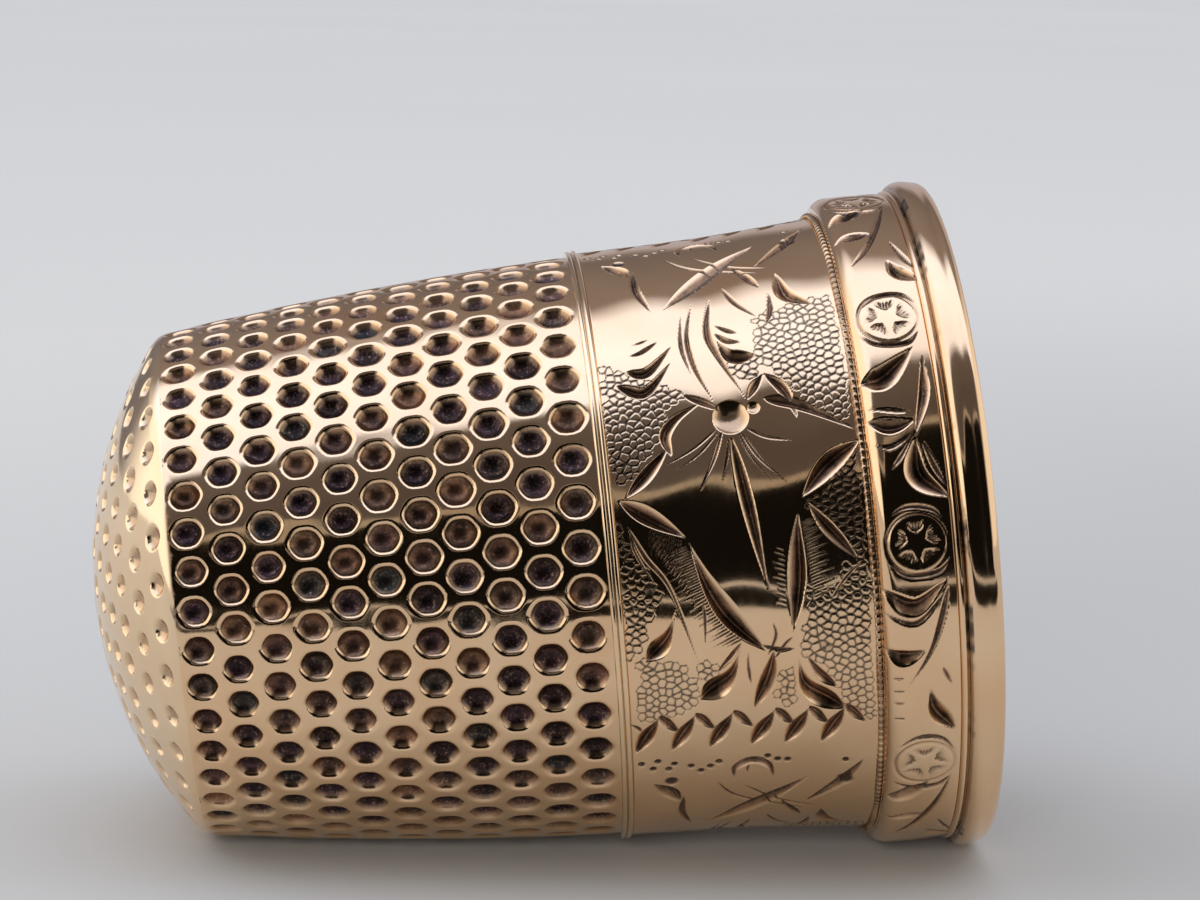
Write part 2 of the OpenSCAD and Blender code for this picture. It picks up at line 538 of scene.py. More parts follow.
@dataclass(frozen=True)
class FloorFinish:
    """Pale matt surface, faintly cloudy, with painted shade that is darker up close and to the
    right.
    """

    near: Colour = (0.425, 0.410, 0.378)
    far: Colour = (0.590, 0.563, 0.508)

    def material(self) -> bpy.types.Material:
        """Make the node material: painted shade as a slow fade along Y and -X, and faint clouds.

        Returns:
            The floor's material.
        """
        material = bpy.data.materials.new("pale_floor")
        material.use_nodes = True
        n = Nodes(material.node_tree)
        place = n.add("TexCoord").outputs["Object"]
        x, y, _ = n.add("SeparateXYZ", None, Vector=place).outputs
        # painted shade: the floor darkens towards the camera and to the right
        across = n.sum("MAXIMUM", n.sum("MINIMUM", x, 0.03), -0.03)
        share = n.add("MapRange", {"interpolation_type": "SMOOTHSTEP"},
                      Value=n.sum("MULTIPLY_ADD", across, -1.2, y),
                      From_Min=-0.03, From_Max=0.14).outputs[0]
        base = n.blend(share, (*self.near, 1.0), (*self.far, 1.0))
        cloud = n.add("TexNoise", None, Vector=place, Scale=6.0, Detail=2.0).outputs["Fac"]
        shade = n.sum("MULTIPLY_ADD", cloud, 0.08, 0.96)
        grey = n.add("CombineColor", None, Red=shade, Green=shade, Blue=shade).outputs[0]
        colour = n.blend(1.0, base, grey, "MULTIPLY")
        shader = n.add("BsdfPrincipled", None, Base_Color=colour, Roughness=0.75)
        n.add("OutputMaterial", None, Surface=shader.outputs[0])
        return material


# ---------------------------------------------------------------- body


@dataclass(frozen=True)
class Body:
    """The outline shared by the wall and the crown."""

    mid_radius: float = 7.00
    mid_height: float = 14.40
    taper: float = 0.0968
    swell: float = 0.00524
    wall_top: float = 19.40
    shoulder_round: float = 0.60
    dome_centre: float = 11.60
    seam: float = 19.50

    def wall_radius(self, height: Array) -> Array:
        """Wall outside: mid radius + taper * drop - swell * drop squared."""
        drop = self.mid_height - height
        return self.mid_radius + self.taper * drop - self.swell * drop**2

    @property
    def slope(self) -> float:
        """Angle of the wall to the axis at its top, radians."""
        return math.atan(self.taper - 2 * self.swell * (self.mid_height - self.wall_top))

    @property
    def shoulder(self) -> Corner:
        """Centre of the shoulder's rounding, (radius, height)."""
        return (float(self.wall_radius(self.wall_top)) - self.shoulder_round * math.cos(self.slope),
                self.wall_top - self.shoulder_round * math.sin(self.slope))

    @property
    def dome_radius(self) -> float:
        """Radius of the dome that is tangent to the shoulder."""
        return (math.hypot(self.shoulder[0], self.shoulder[1] - self.dome_centre)
                + self.shoulder_round)

    @property
    def dome_edge(self) -> float:
        """Angle from the axis at which the dome meets the shoulder, radians."""
        return math.atan2(self.shoulder[0], self.shoulder[1] - self.dome_centre)

    @property
    def crown_reach(self) -> float:
        """Distance along the crown from its pole to the seam with the wall."""
        seam_angle = math.asin((self.seam - self.shoulder[1]) / self.shoulder_round)
        return (self.dome_radius * self.dome_edge
                + self.shoulder_round * (math.pi / 2 - seam_angle - self.dome_edge))

    def side(self, height: Array) -> tuple[Array, Array, Array]:
        """Outline of the wall and the first of the shoulder at a height.

        Args:
            height: above the mouth, mm.

        Returns:
            The radius there and the outward normal's radial and axial parts.
        """
        above = np.clip((height - self.shoulder[1]) / self.shoulder_round, -1, 1)
        on_wall = height <= self.wall_top
        radius = np.where(on_wall, self.wall_radius(height),
                          self.shoulder[0] + self.shoulder_round * np.sqrt(1 - above**2))
        steep = np.where(on_wall, np.arctan(self.taper - 2 * self.swell
                                            * (self.mid_height - height)), np.arcsin(above))
        return radius, np.cos(steep), np.sin(steep)

    def cap(self, reach: Array) -> tuple[Array, Array, Array]:
        """Outline of the dome and shoulder at a distance from the pole.

        Args:
            reach: distance along the metal from the pole, mm.

        Returns:
            The radius, the height and the normal's angle from the axis.
        """
        edge = self.dome_radius * self.dome_edge
        on_dome = reach <= edge
        angle = np.where(on_dome, reach / self.dome_radius,
                         self.dome_edge + (reach - edge) / self.shoulder_round)
        radius = np.where(on_dome, self.dome_radius * np.sin(angle),
                          self.shoulder[0] + self.shoulder_round * np.sin(angle))
        height = np.where(on_dome, self.dome_centre + self.dome_radius * np.cos(angle),
                          self.shoulder[1] + self.shoulder_round * np.cos(angle))
        return radius, height, angle


@dataclass(frozen=True)
class Pit:
    """Shape of one needle pit, in terms of its own radius."""

    depth: float
    edge: float
    flat_from: float = 1.22
    mouth: float = 0.94

    def lift(self, rho: Array) -> Array:
        """Surface of a pit: - edge * t^2.4 - depth * (1 - (rho / mouth)^2.6).

        The edge rounds over as t goes from nought at flat_from to one at the
        mouth of the bowl.

        Args:
            rho: distance from the pit's centre over its radius.

        Returns:
            Outward movement of the surface, mm.
        """
        t = np.clip((self.flat_from - rho) / (self.flat_from - self.mouth), 0, 1)
        return -self.edge * t**2.4 - self.depth * (1 - np.clip(rho / self.mouth, 0, 1) ** 2.6)


@dataclass
class PittedWall:
    """Tapered wall with staggered rings of needle pits."""

    axis: Axis
    body: Body
    bottom: float = 9.21
    spigot_end: float = 8.13
    spigot_radius: float = 7.12
    thickness: float = 0.56
    counterbore: Corner = (6.10, 18.60)
    rings: int = 11
    pits_round: int = 43
    ring_step: float = 0.9248
    middle_ring: float = 14.40
    first_phase: float = 0.55
    ring_phase: float = 0.532
    pit_share: float = 0.0565
    corners: float = 0.020
    stretch: float = 0.045
    ripple: float = 0.0030
    pit: Pit = Pit(depth=0.215, edge=0.045)
    steps_per_side: int = 4
    circles: tuple[float, ...] = (1.24, 1.18, 1.08, 0.97, 0.88, 0.66, 0.34)
    seed: int = 7

    def __post_init__(self) -> None:
        """Work out where the rings are and the small differences of the pits."""
        number = np.arange(self.rings)
        self.heights = self.middle_ring - self.ring_step * (number - self.rings // 2)
        self.phases = (self.first_phase + self.ring_phase * number) % 1.0
        self.pitch = TAU / self.pits_round
        dice = np.random.default_rng(self.seed)
        shape = (self.rings, self.pits_round)
        self.size = self.pit_share * self.body.wall_radius(self.heights)[:, None] * (
            1 + 0.02 * dice.standard_normal(shape))
        self.tint = 0.1 + 0.65 * dice.random(shape)
        self.deep = 1 + 0.08 * dice.standard_normal(shape)
        self.drift = 0.010 * dice.standard_normal((2, *shape))

    def nearest(self, turn: Array, height: Array) -> tuple[Array, Array, Array]:
        """Find each point's own pit.

        Args:
            turn: radians.
            height: mm.

        Returns:
            Distance over the pit's radius, the pit's ring and its number.
        """
        guess = np.round((self.heights[0] - height) / self.ring_step).astype(int)
        best = np.full(np.shape(height), 9.0)
        best_ring = np.zeros(np.shape(height), int)
        best_pit = np.zeros(np.shape(height), int)
        for offset in (-1, 0, 1):
            ring = np.clip(guess + offset, 0, self.rings - 1)
            pit = np.round(turn / self.pitch - self.phases[ring]).astype(int)
            across = wrap(turn - (pit + self.phases[ring]) * self.pitch, TAU)
            pit = pit % self.pits_round
            x = across * self.body.wall_radius(self.heights[ring]) - self.drift[0, ring, pit]
            y = height - self.heights[ring] - self.drift[1, ring, pit]
            rho = np.hypot(x, y) / self.size[ring, pit] * self.girdle(np.arctan2(y, x))
            closer = rho < best
            best = np.where(closer, rho, best)
            best_ring = np.where(closer, ring, best_ring)
            best_pit = np.where(closer, pit, best_pit)
        return best, best_ring, best_pit

    def girdle(self, angle: Array) -> Array:
        """Pit shape: how much nearer than round its edge lies at an angle.

        (cos * (1 + stretch), sin * (1 - stretch)) gives a pit that is longer
        along the thimble, and corners * cos(6 angle) makes it faintly six-sided.
        """
        oval = np.hypot(np.cos(angle) * (1 + self.stretch), np.sin(angle) * (1 - self.stretch))
        return oval * (1 + self.corners * np.cos(6 * angle))

    def surface(self, turn: Array, height: Array) -> Array:
        """Outside points: the outline moved along its normal by pit and ripple.

        The ripple is a product of two slow sines and a third, finer one.

        Args:
            turn: radians.
            height: mm.

        Returns:
            Points in mm.
        """
        rho, ring, pit = self.nearest(turn, height)
        waves = (np.sin(31 * turn + 2.3 * height) * np.sin(1.7 * height - 9 * turn)
                 + 0.7 * np.sin(53 * turn - 1.1 * height + 1.0))
        lift = self.pit.lift(rho) * self.deep[ring, pit] + self.ripple * waves
        radius, out_r, out_z = self.body.side(height)
        return self.axis.place(radius + lift * out_r, turn, height + lift * out_z)

    def cells(self) -> tuple[Array, Array]:
        """Turn and height of every outside point, one six-sided cell to a pit.

        A cell's corners lie a third of a ring step above and below its centre
        at both sides, and two thirds above and below on the next rings' side
        lines.  Its points run round the cell, then round ever smaller circles.

        Returns:
            Turn and height, each (rings, pits, layers, points round a layer).
        """
        ring = np.arange(self.rings)[:, None]
        centre = (self.phases[:, None] + np.arange(self.pits_round)) * self.pitch
        half, third = self.pitch / 2, self.ring_step / 3
        above = np.append(self.phases[:1] + self.ring_phase, self.phases)[:-1]
        below = np.append(self.phases, self.phases[-1:])[1:]
        above[0], below[-1] = self.phases[0] + 0.5, self.phases[-1] + 0.5
        peak = [wrap((p - self.phases) * self.pitch + half, self.pitch)[:, None]
                for p in (above, below)]
        top = np.where(ring == 0, self.body.seam - self.heights[0], third)
        peak_top = np.where(ring == 0, self.body.seam - self.heights[0], 2 * third)
        foot = np.where(ring == self.rings - 1, self.bottom - self.heights[-1], -third)
        peak_foot = np.where(ring == self.rings - 1, self.bottom - self.heights[-1], -2 * third)
        ones = np.ones_like(centre)
        corner_turn = np.stack([half * ones, peak[0] * ones, -half * ones, -half * ones,
                                peak[1] * ones, half * ones], -1)
        corner_height = np.stack([top * ones, peak_top * ones, top * ones, foot * ones,
                                  peak_foot * ones, foot * ones], -1)
        t = (np.arange(self.steps_per_side) / self.steps_per_side)[None, None, None]

        def round_cell(c: Array) -> Array:
            """Even points along each side of the cell."""
            ahead = np.roll(c, -1, -1)
            return (c[..., None] * (1 - t) + ahead[..., None] * t).reshape(*c.shape[:2], -1)

        edge_turn, edge_height = round_cell(corner_turn), round_cell(corner_height)
        girth = self.body.wall_radius(self.heights)[:, None, None]
        angle = np.arctan2(edge_height, edge_turn * girth)
        reach = (self.size[..., None, None] * np.array(self.circles)[:, None]
                 / self.girdle(angle)[:, :, None])
        room = np.hypot(edge_turn * girth, edge_height)[:, :, None]
        reach = np.minimum(reach, 0.96 * room)
        drift = self.drift[..., None, None]
        spokes_turn = (reach * np.cos(angle)[:, :, None] + drift[0]) / girth[..., None]
        spokes_height = reach * np.sin(angle)[:, :, None] + drift[1]
        turn = np.concatenate([edge_turn[:, :, None], spokes_turn], 2) + centre[..., None, None]
        height = np.concatenate([edge_height[:, :, None], spokes_height], 2)
        return turn, height + self.heights[:, None, None, None]

    def build(self, finish: bpy.types.Material) -> list[bpy.types.Object]:
        """Make the wall: the pitted outside, the bore and the spigot.

        Every pit is a six-sided cell whose layers shrink to a point in its
        middle, and neighbouring cells share their sides.  The bore's outline
        is carried round from the points of the top edge to those of the foot.

        Args:
            finish: the wall's material.

        Returns:
            The piece, in a list.
        """
        turn, height = self.cells()
        rings, pits, layers, points = turn.shape
        index = np.arange(turn.size).reshape(turn.shape)
        ahead = np.roll(index, -1, -1)
        bands = np.stack([index[:, :, :-1], index[:, :, 1:], ahead[:, :, 1:],
                          ahead[:, :, :-1]], -1).reshape(-1, 4)
        poles = turn.size + np.arange(rings * pits).reshape(rings, pits)
        last = index[:, :, -1]
        centres = np.stack(np.broadcast_arrays(np.roll(last, -1, -1), last,
                                               poles[..., None]), -1).reshape(-1, 3)
        girth = self.body.wall_radius(self.heights)[:, None]
        pole_turn = ((self.phases[:, None] + np.arange(pits)) * self.pitch
                     + self.drift[0] / girth)
        pole_height = self.heights[:, None] + self.drift[1]
        turn = np.concatenate([turn.ravel(), pole_turn.ravel()])
        height = np.concatenate([height.ravel(), pole_height.ravel()])

        inside = self.bore()
        side = self.steps_per_side
        top_loop = index[0, :, 0, 1:2 * side + 1][:, ::-1].ravel()
        foot_loop = index[-1, :, 0, 3 * side:5 * side].ravel()
        columns = len(top_loop)
        share = np.linspace(0, 1, len(inside))[:, None]
        ring_turn = turn[top_loop] * (1 - share) + turn[foot_loop] * share
        ring_index = turn.size + np.arange(inside.shape[0] * columns).reshape(-1, columns)
        ring_points = self.axis.place(inside[:, :1], ring_turn, inside[:, 1:])
        rows = np.vstack([top_loop, ring_index, foot_loop])

        points_out, normals_out, recess, tint = self.dress(turn, height)
        merged, faces = merge_points(
            np.vstack([points_out, ring_points.reshape(-1, 3)]),
            [bands, centres, quads(rows, around=True)])
        normals = np.vstack([normals_out, grid_normals(ring_points, True, False).reshape(-1, 3)])
        extra = ring_points.shape[0] * columns
        skin = Skin(merged.points, normals[merged.kept], faces,
                    np.append(recess, np.full(extra, INNER_RECESS))[merged.kept],
                    np.append(tint, np.full(extra, INNER_TINT))[merged.kept])
        return [dressed(skin.mesh_object("pitted_wall_shell"), finish, Slot.ROSE, "pitted_wall")]

    def bore(self) -> Array:
        """Draw the inside: from the seam down to the end of the spigot and back.

        Returns:
            (n, 2) outline of radius and height.
        """
        inner = [(float(self.body.wall_radius(z)) - self.thickness, z)
                 for z in np.linspace(self.counterbore[1], self.bottom, 5)]
        corners = np.array([(self.counterbore[0] + 0.10, self.body.seam),
                            (self.counterbore[0], self.body.seam), self.counterbore, *inner,
                            (inner[-1][0], self.spigot_end),
                            (self.spigot_radius, self.spigot_end),
                            (self.spigot_radius, self.bottom),
                            (self.spigot_radius + 0.1, self.bottom)])
        return eased(corners, 0.03)

    def dress(self, turn: Array, height: Array) -> tuple[Array, Array, Array, Array]:
        """Points, normals and surface values of the outside.

        The normal is the cross product of the surface's change with height
        and with turn.  The recess is one over the bowl, more in its middle,
        and nought on the lands.  The tint is the pit's own in the middle and
        close to copper round the edge.

        Args:
            turn: radians.
            height: mm.

        Returns:
            Points, normals, recess and tint.
        """
        swing = TINY / self.body.mid_radius
        climb = self.surface(turn, height + TINY) - self.surface(turn, height - TINY)
        swung = self.surface(turn + swing, height) - self.surface(turn - swing, height)
        rho, ring, pit = self.nearest(turn, height)
        recess = 1 - smooth(0.80, 0.99, rho) + 0.5 * (1 - smooth(0.05, 0.62, rho))
        tint = self.tint[ring, pit]
        tint = tint + (0.5 - tint) * 0.8 * smooth(0.60, 0.88, rho)
        return self.surface(turn, height), unit(np.cross(climb, swung)), recess, tint


@dataclass
class Crown:
    """Domed cap with rings of shallow pits, a plain shoulder and a spigot."""

    axis: Axis
    body: Body
    metal: float = 0.56
    spigot: Corner = (6.10, 18.60)
    spigot_thickness: float = 0.30
    rings: tuple[tuple[float, int, float], ...] = (
        (6.03, 34, -0.587), (5.24, 32, -0.356), (4.40, 28, -0.50), (3.60, 23, -0.42),
        (2.80, 17, -0.30), (1.95, 12, -0.10), (1.08, 6, 0.20), (0.0, 1, 0.0))
    pit_radius: float = 0.280
    pit: Pit = Pit(depth=0.14, edge=0.020)
    fine_steps: int = 144
    inner_steps: int = 24

    def pit_rho(self, reach: Array, turn: Array) -> Array:
        """Distance to the nearest pit's centre over the pit's radius.

        Args:
            reach: distance from the pole along the metal, mm.
            turn: radians.

        Returns:
            The smallest distance over all rings, in pit radii.
        """
        best = np.full(np.shape(reach), 9.0)
        for radius, count, phase in self.rings:
            ring_reach = self.body.dome_radius * math.asin(radius / self.body.dome_radius)
            pitch = TAU / count
            number = np.round((turn - phase) / pitch)
            across = 2 * np.sin((turn - phase - number * pitch) / 2) * radius
            off = reach - ring_reach
            if radius == 0.0:
                across, off = reach, np.zeros_like(reach)
            wobble = 1 + 0.07 * np.sin(12.9898 * number + 78.233 * radius)
            best = np.minimum(best, np.hypot(across, off) / (self.pit_radius * wobble))
        return best

    def surface(self, u: Array, v: Array) -> Array:
        """Outside points of the cap laid out flat round its pole.

        The point at (u, v) is hypot(u, v) along the metal from the pole, at
        the turn atan2(v, u), moved along the normal by the pit's lift.

        Args:
            u: mm, towards the datum.
            v: mm, a quarter turn on.

        Returns:
            Points in mm.
        """
        reach, turn = np.hypot(u, v), np.arctan2(v, u)
        radius, height, angle = self.body.cap(reach)
        lift = self.pit.lift(self.pit_rho(reach, turn))
        return self.axis.place(radius + lift * np.sin(angle), turn, height + lift * np.cos(angle))

    def build(self, finish: bpy.types.Material) -> list[bpy.types.Object]:
        """Make the crown: pitted outside, seam, spigot and plain inside.

        The inside is part of a ball about the dome's centre, a metal's
        thickness smaller than the dome.  It ends where it is as wide as the
        spigot's bore.

        Args:
            finish: the crown's material.

        Returns:
            The piece, in a list.
        """
        share, turn, index, loop = disc(self.fine_steps)
        u = self.body.crown_reach * share * np.cos(turn)
        v = self.body.crown_reach * share * np.sin(turn)
        outside = self.surface(u, v)
        across = self.surface(u + TINY, v) - self.surface(u - TINY, v)
        along = self.surface(u, v + TINY) - self.surface(u, v - TINY)
        normals = unit(np.cross(along, across))
        rho = self.pit_rho(np.hypot(u, v), np.arctan2(v, u))

        inner_radius = self.body.dome_radius - self.metal
        bore = self.spigot[0] - self.spigot_thickness
        meet = self.body.dome_centre + math.sqrt(inner_radius**2 - bore**2)
        rim = eased(np.array([(bore, meet), (bore, self.spigot[1]), self.spigot,
                              (self.spigot[0], self.body.seam),
                              (self.spigot[0] + 0.10, self.body.seam)]), 0.03)
        columns = len(loop)
        rim_turn = np.broadcast_to(TAU * (np.arange(columns) / columns - 1 / 8),
                                   (len(rim), columns))
        rim_points = self.axis.place(rim[:, :1], rim_turn, rim[:, 1:])
        rim_index = index.size + np.arange(len(rim) * columns).reshape(-1, columns)

        share, turn, inner_index, inner_loop = disc(self.inner_steps)
        angle = share * math.asin((bore - 0.12) / inner_radius)
        inner = self.axis.place(inner_radius * np.sin(angle), turn,
                                self.body.dome_centre + inner_radius * np.cos(angle))
        centre = self.axis.place(np.zeros(1), np.zeros(1), np.full(1, self.body.dome_centre))
        start = index.size + rim_index.size
        faces = [quads(index)[:, ::-1], quads(np.vstack([rim_index, loop]), around=True),
                 fan_strip(rim_index[0], inner_loop + start), quads(inner_index + start)]
        count = rim_index.size + inner_index.size
        skin = Skin(
            np.vstack([outside.reshape(-1, 3), rim_points.reshape(-1, 3), inner.reshape(-1, 3)]),
            np.vstack([normals.reshape(-1, 3), grid_normals(rim_points, True, False).reshape(-1, 3),
                       unit(centre - inner.reshape(-1, 3))]),
            faces, np.append(0.60 * (1 - smooth(0.55, 1.0, rho)).ravel(),
                             np.full(count, INNER_RECESS)),
            np.full(index.size + count, 0.9))
        return [dressed(skin.mesh_object("pitted_crown"), finish, Slot.PALE, "crown")]


def disc(steps: int) -> tuple[Array, Array, Array, Array]:
    """Square grid pressed into a disc, each square ring becoming a circle.

    Args:
        steps: grid steps from the centre to the edge.

    Returns:
        Share of the radius and angle of each point, the vertex numbers, and
        the edge's vertex numbers in order of angle from minus 45 degrees.
    """
    side = np.arange(-steps, steps + 1)
    i, j = np.meshgrid(side, side, indexing="ij")
    wide = abs(i) >= abs(j)
    lean = np.where(wide, j / np.where(i == 0, 1, i), i / np.where(j == 0, 1, j)) * math.pi / 4
    angle = np.where(wide, lean + np.where(i < 0, math.pi, 0),
                     math.pi / 2 - lean + np.where(j < 0, math.pi, 0))
    index = np.arange(i.size).reshape(i.shape)
    loop = np.concatenate([index[-1, :-1], index[:0:-1, -1], index[0, :0:-1], index[:-1, 0]])
    return np.maximum(abs(i), abs(j)) / steps, angle, index, loop


# ---------------------------------------------------------------- engraving


@dataclass(frozen=True)
class Cut:
    """One stroke of the graver through points, pointed at both ends.

    Its width swells as the sine of pi times the place along it, bent so that
    it is widest at the belly.  Across, it is a V whose valley may lie to one
    side.
    """

    path: tuple[Spot, ...]
    width: float
    belly: float = 0.5
    lean: float = 0.0
    steep: float = 0.48
    teeth: int = 0


@dataclass(frozen=True)
class Dot:
    """A round punch mark."""

    place: Spot
    radius: float
    depth: float
    dark: float = 0.95


@dataclass(frozen=True)
class Star:
    """Medallion: a ring cut round a field with a raised five-pointed star."""

    place: Spot
    field_radius: float = 0.72
    star_radius: float = 0.52
    depth: float = 0.070


@dataclass
class Layout:
    """One repeat of a band laid out flat, with the depth of work at each point."""

    heights: Array
    columns: int
    girth: float
    start: float
    sweep: float
    spine_points: int = 28

    def __post_init__(self) -> None:
        """Start with untouched metal."""
        self.depth = np.zeros((len(self.heights), self.columns))
        self.shade = np.zeros_like(self.depth)
        self.tint = np.full_like(self.depth, 0.9)

    def window(self, low: Spot, high: Spot) -> Window:
        """Part of the layout that holds a feature.

        Args:
            low: lowest height and smallest turn, mm and degrees.
            high: greatest height and turn.

        Returns:
            Index of the part, its heights and its distances round, mm.
        """
        rows = np.nonzero((self.heights >= low[0]) & (self.heights <= high[0]))[0]
        step = self.sweep / self.columns
        first = int(np.floor((math.radians(low[1]) - self.start) / step))
        last = int(np.ceil((math.radians(high[1]) - self.start) / step))
        numbers = np.arange(first, last + 1)
        round_ = self.girth * (self.start + numbers * step)
        z, x = np.meshgrid(self.heights[rows], round_, indexing="ij")
        return np.ix_(rows, numbers % self.columns), z, x

    def flat(self, spots: tuple[Spot, ...]) -> Array:
        """Spots as (height, distance round) in mm."""
        return np.array(spots, float) * (1.0, math.radians(1) * self.girth)

    def sink(self, part: tuple[Array, Array], depth: Array, shade: Array) -> None:
        """Deepen a part of the layout, keeping what is deeper already."""
        self.depth[part] = np.maximum(self.depth[part], depth)
        self.shade[part] = np.maximum(self.shade[part], shade)

    def around(self, spots: tuple[Spot, ...], margin: float) -> Window:
        """Window that holds the spots and a margin in mm."""
        s = np.array(spots, float)
        edge = np.array([margin, math.degrees(margin / self.girth)])
        return self.window(tuple(s.min(0) - edge), tuple(s.max(0) + edge))

    def cut(self, stroke: Cut) -> None:
        """Sink a stroke: the depth falls from its valley line to its edges.

        A point belongs to the nearest of the short straight runs along the
        path.  Teeth make the width shrink and spring back that many times.

        Args:
            stroke: the stroke.
        """
        part, z, x = self.around(stroke.path, stroke.width)
        steps = self.spine_points
        spine = curve_through(self.flat(stroke.path), steps)
        a, run = spine[:-1], np.diff(spine, axis=0)
        off_z, off_x = z[..., None] - a[:, 0], x[..., None] - a[:, 1]
        share = np.clip((off_z * run[:, 0] + off_x * run[:, 1]) / (run**2).sum(1), 0, 1)
        gap = np.hypot(off_z - share * run[:, 0], off_x - share * run[:, 1])
        near = gap.argmin(-1)[..., None]
        side = np.sign(np.take_along_axis(off_x * run[:, 0] - off_z * run[:, 1], near, -1))[..., 0]
        place = (near[..., 0] + np.take_along_axis(share, near, -1)[..., 0]) / (steps - 1)
        bend = math.log(0.5) / math.log(stroke.belly)
        swell = np.sin(math.pi * np.clip(place, 1e-6, 1 - 1e-6) ** bend)
        if stroke.teeth:
            swell = swell * (1 - 0.40 * (place * stroke.teeth % 1.0))
        half = np.maximum(swell * stroke.width / 2, 1e-6)
        u = side * np.take_along_axis(gap, near, -1)[..., 0] / half
        vee = np.minimum((1 - u) / (1 - stroke.lean), (1 + u) / (1 + stroke.lean))
        vee = np.clip(vee, 0, 1)
        self.sink(part, stroke.steep * stroke.width * swell * vee,
                  0.95 * smooth(0.08, 0.45, vee) * smooth(0.0, 0.4, swell))
        self.tint[part] = np.minimum(self.tint[part], 0.9 - 0.4 * smooth(0.5, 1.0, vee))

    def punch(self, dot: Dot) -> None:
        """Sink a dot: depth * (1 - rho^2), with rho the distance over its radius.

        Args:
            dot: the dot.
        """
        part, z, x = self.around((dot.place,), dot.radius * 1.3)
        centre = self.flat((dot.place,))[0]
        rho = np.hypot(z - centre[0], x - centre[1]) / dot.radius
        self.sink(part, dot.depth * np.clip(1 - rho**2, 0, 1),
                  dot.dark * (1 - smooth(0.6, 1.0, rho)))
        self.tint[part] = np.where(rho < 1, 0.1, self.tint[part])

    def medallion(self, star: Star) -> None:
        """Sink the field round a star and the ring round the field.

        The star's edge is at a radius that swings, as the turn round it goes
        on, along straight lines between its points and its notches.

        Args:
            star: the medallion.
        """
        part, z, x = self.around((star.place,), star.field_radius * 1.35)
        centre = self.flat((star.place,))[0]
        dz, dx = z - centre[0], x - centre[1]
        rho = np.hypot(dz, dx)
        fifth = TAU / 5
        heading = np.arctan2(dx, dz)
        bearing = abs(wrap(heading - 0.35, fifth))
        notch = 0.42
        tip = np.array([1.0, 0.0])
        pit = notch * np.array([math.cos(fifth / 2), math.sin(fifth / 2)])
        across = np.array([tip[1] - pit[1], pit[0] - tip[0]])
        edge = (tip @ across) / (np.cos(bearing) * across[0] + np.sin(bearing) * across[1])
        outside = rho - edge * star.star_radius
        wedges = smooth(0.0, 0.05, outside) * (1 - smooth(0.06, 0.30, outside))
        wedges = wedges * smooth(0.12, 0.50, bearing / fifth * 2)
        wedges = wedges * (0.7 + 0.3 * np.cos(30 * heading))
        ring = np.exp(-(((rho - star.field_radius) / 0.035) ** 2)) * (0.75 + 0.25 * np.cos(heading))
        self.sink(part, star.depth * np.maximum(wedges, 0.7 * ring),
                  np.maximum(0.95 * wedges, 0.8 * ring))
        self.tint[part] = np.where(wedges > 0.05, 0.1, self.tint[part])

    def stipple(self, zones: tuple[tuple[Spot, ...], ...], pebbles: int, seed: int) -> None:
        """Cover zones with pebbles: cells of a shaken honeycomb, dark between.

        The groove between two pebbles lies where a point is as far from its
        second nearest centre as from its nearest.  A pebble is in a zone if a
        line round the band from its centre crosses an odd number of sides.

        Args:
            zones: corners of each zone.
            pebbles: number of pebbles across the repeat.
            seed: seed of the shaking.
        """
        pitch = self.sweep * self.girth / pebbles
        tier = pitch * math.sqrt(0.75)
        tiers = int(np.ceil(np.ptp(self.heights) / tier)) + 4
        shake = 0.17 * pitch * np.random.default_rng(seed).standard_normal((2, tiers, pebbles))
        z, x = np.meshgrid(self.heights - self.heights[0],
                           np.arange(self.columns) * self.sweep * self.girth / self.columns,
                           indexing="ij")
        row0 = np.round(z / tier).astype(int)
        first = np.full(z.shape, 9.0)
        second = np.full(z.shape, 9.0)
        home = np.zeros((2, *z.shape))
        for row in (row0 - 1, row0, row0 + 1):
            shift = 0.5 * (row % 2)
            base = np.round(x / pitch - shift).astype(int)
            for column in (base - 1, base, base + 1):
                k = (row % tiers, column % pebbles)
                cz = row * tier + shake[0][k]
                cx = (column + shift) * pitch + shake[1][k]
                gap = np.hypot(z - cz, x - cx)
                closer = gap < first
                second = np.where(closer, first, np.minimum(second, gap))
                home[0] = np.where(closer, cz, home[0])
                home[1] = np.where(closer, cx, home[1])
                first = np.where(closer, gap, first)
        height = home[0] + self.heights[0]
        turn = np.degrees(home[1] / self.girth + self.start)
        inside = np.zeros(z.shape, bool)
        for zone in zones:
            corners = np.array(zone, float)
            for swing in (-math.degrees(self.sweep), 0.0, math.degrees(self.sweep)):
                odd = np.zeros(z.shape, bool)
                for (za, ta), (zb, tb) in zip(corners, np.roll(corners, -1, 0)):
                    if za != zb:
                        crosses = (za > height) != (zb > height)
                        odd ^= crosses & (turn + swing < ta + (height - za) * (tb - ta) / (zb - za))
                inside |= odd
        groove = 1 - smooth(0.0, 0.34 * pitch, second - first)
        crown = np.clip((first / (0.55 * pitch)) ** 2, 0, 1)
        depth = inside * (0.016 * groove + 0.003 * crown)
        untouched = self.depth < 0.004
        self.depth = np.where(untouched, np.maximum(self.depth, depth), self.depth)
        self.shade = np.where(untouched, np.maximum(self.shade, inside * 0.95 * groove),
                              self.shade)
        self.tint[untouched & inside] = 0.7


def strokes(bold: float, *rows: tuple) -> tuple[Cut, ...]:
    """Cuts from rows of (width, belly, lean, spot, spot, ...), bold times as wide."""
    return tuple(Cut(tuple(row[3:]), bold * row[0], row[1], row[2]) for row in rows)


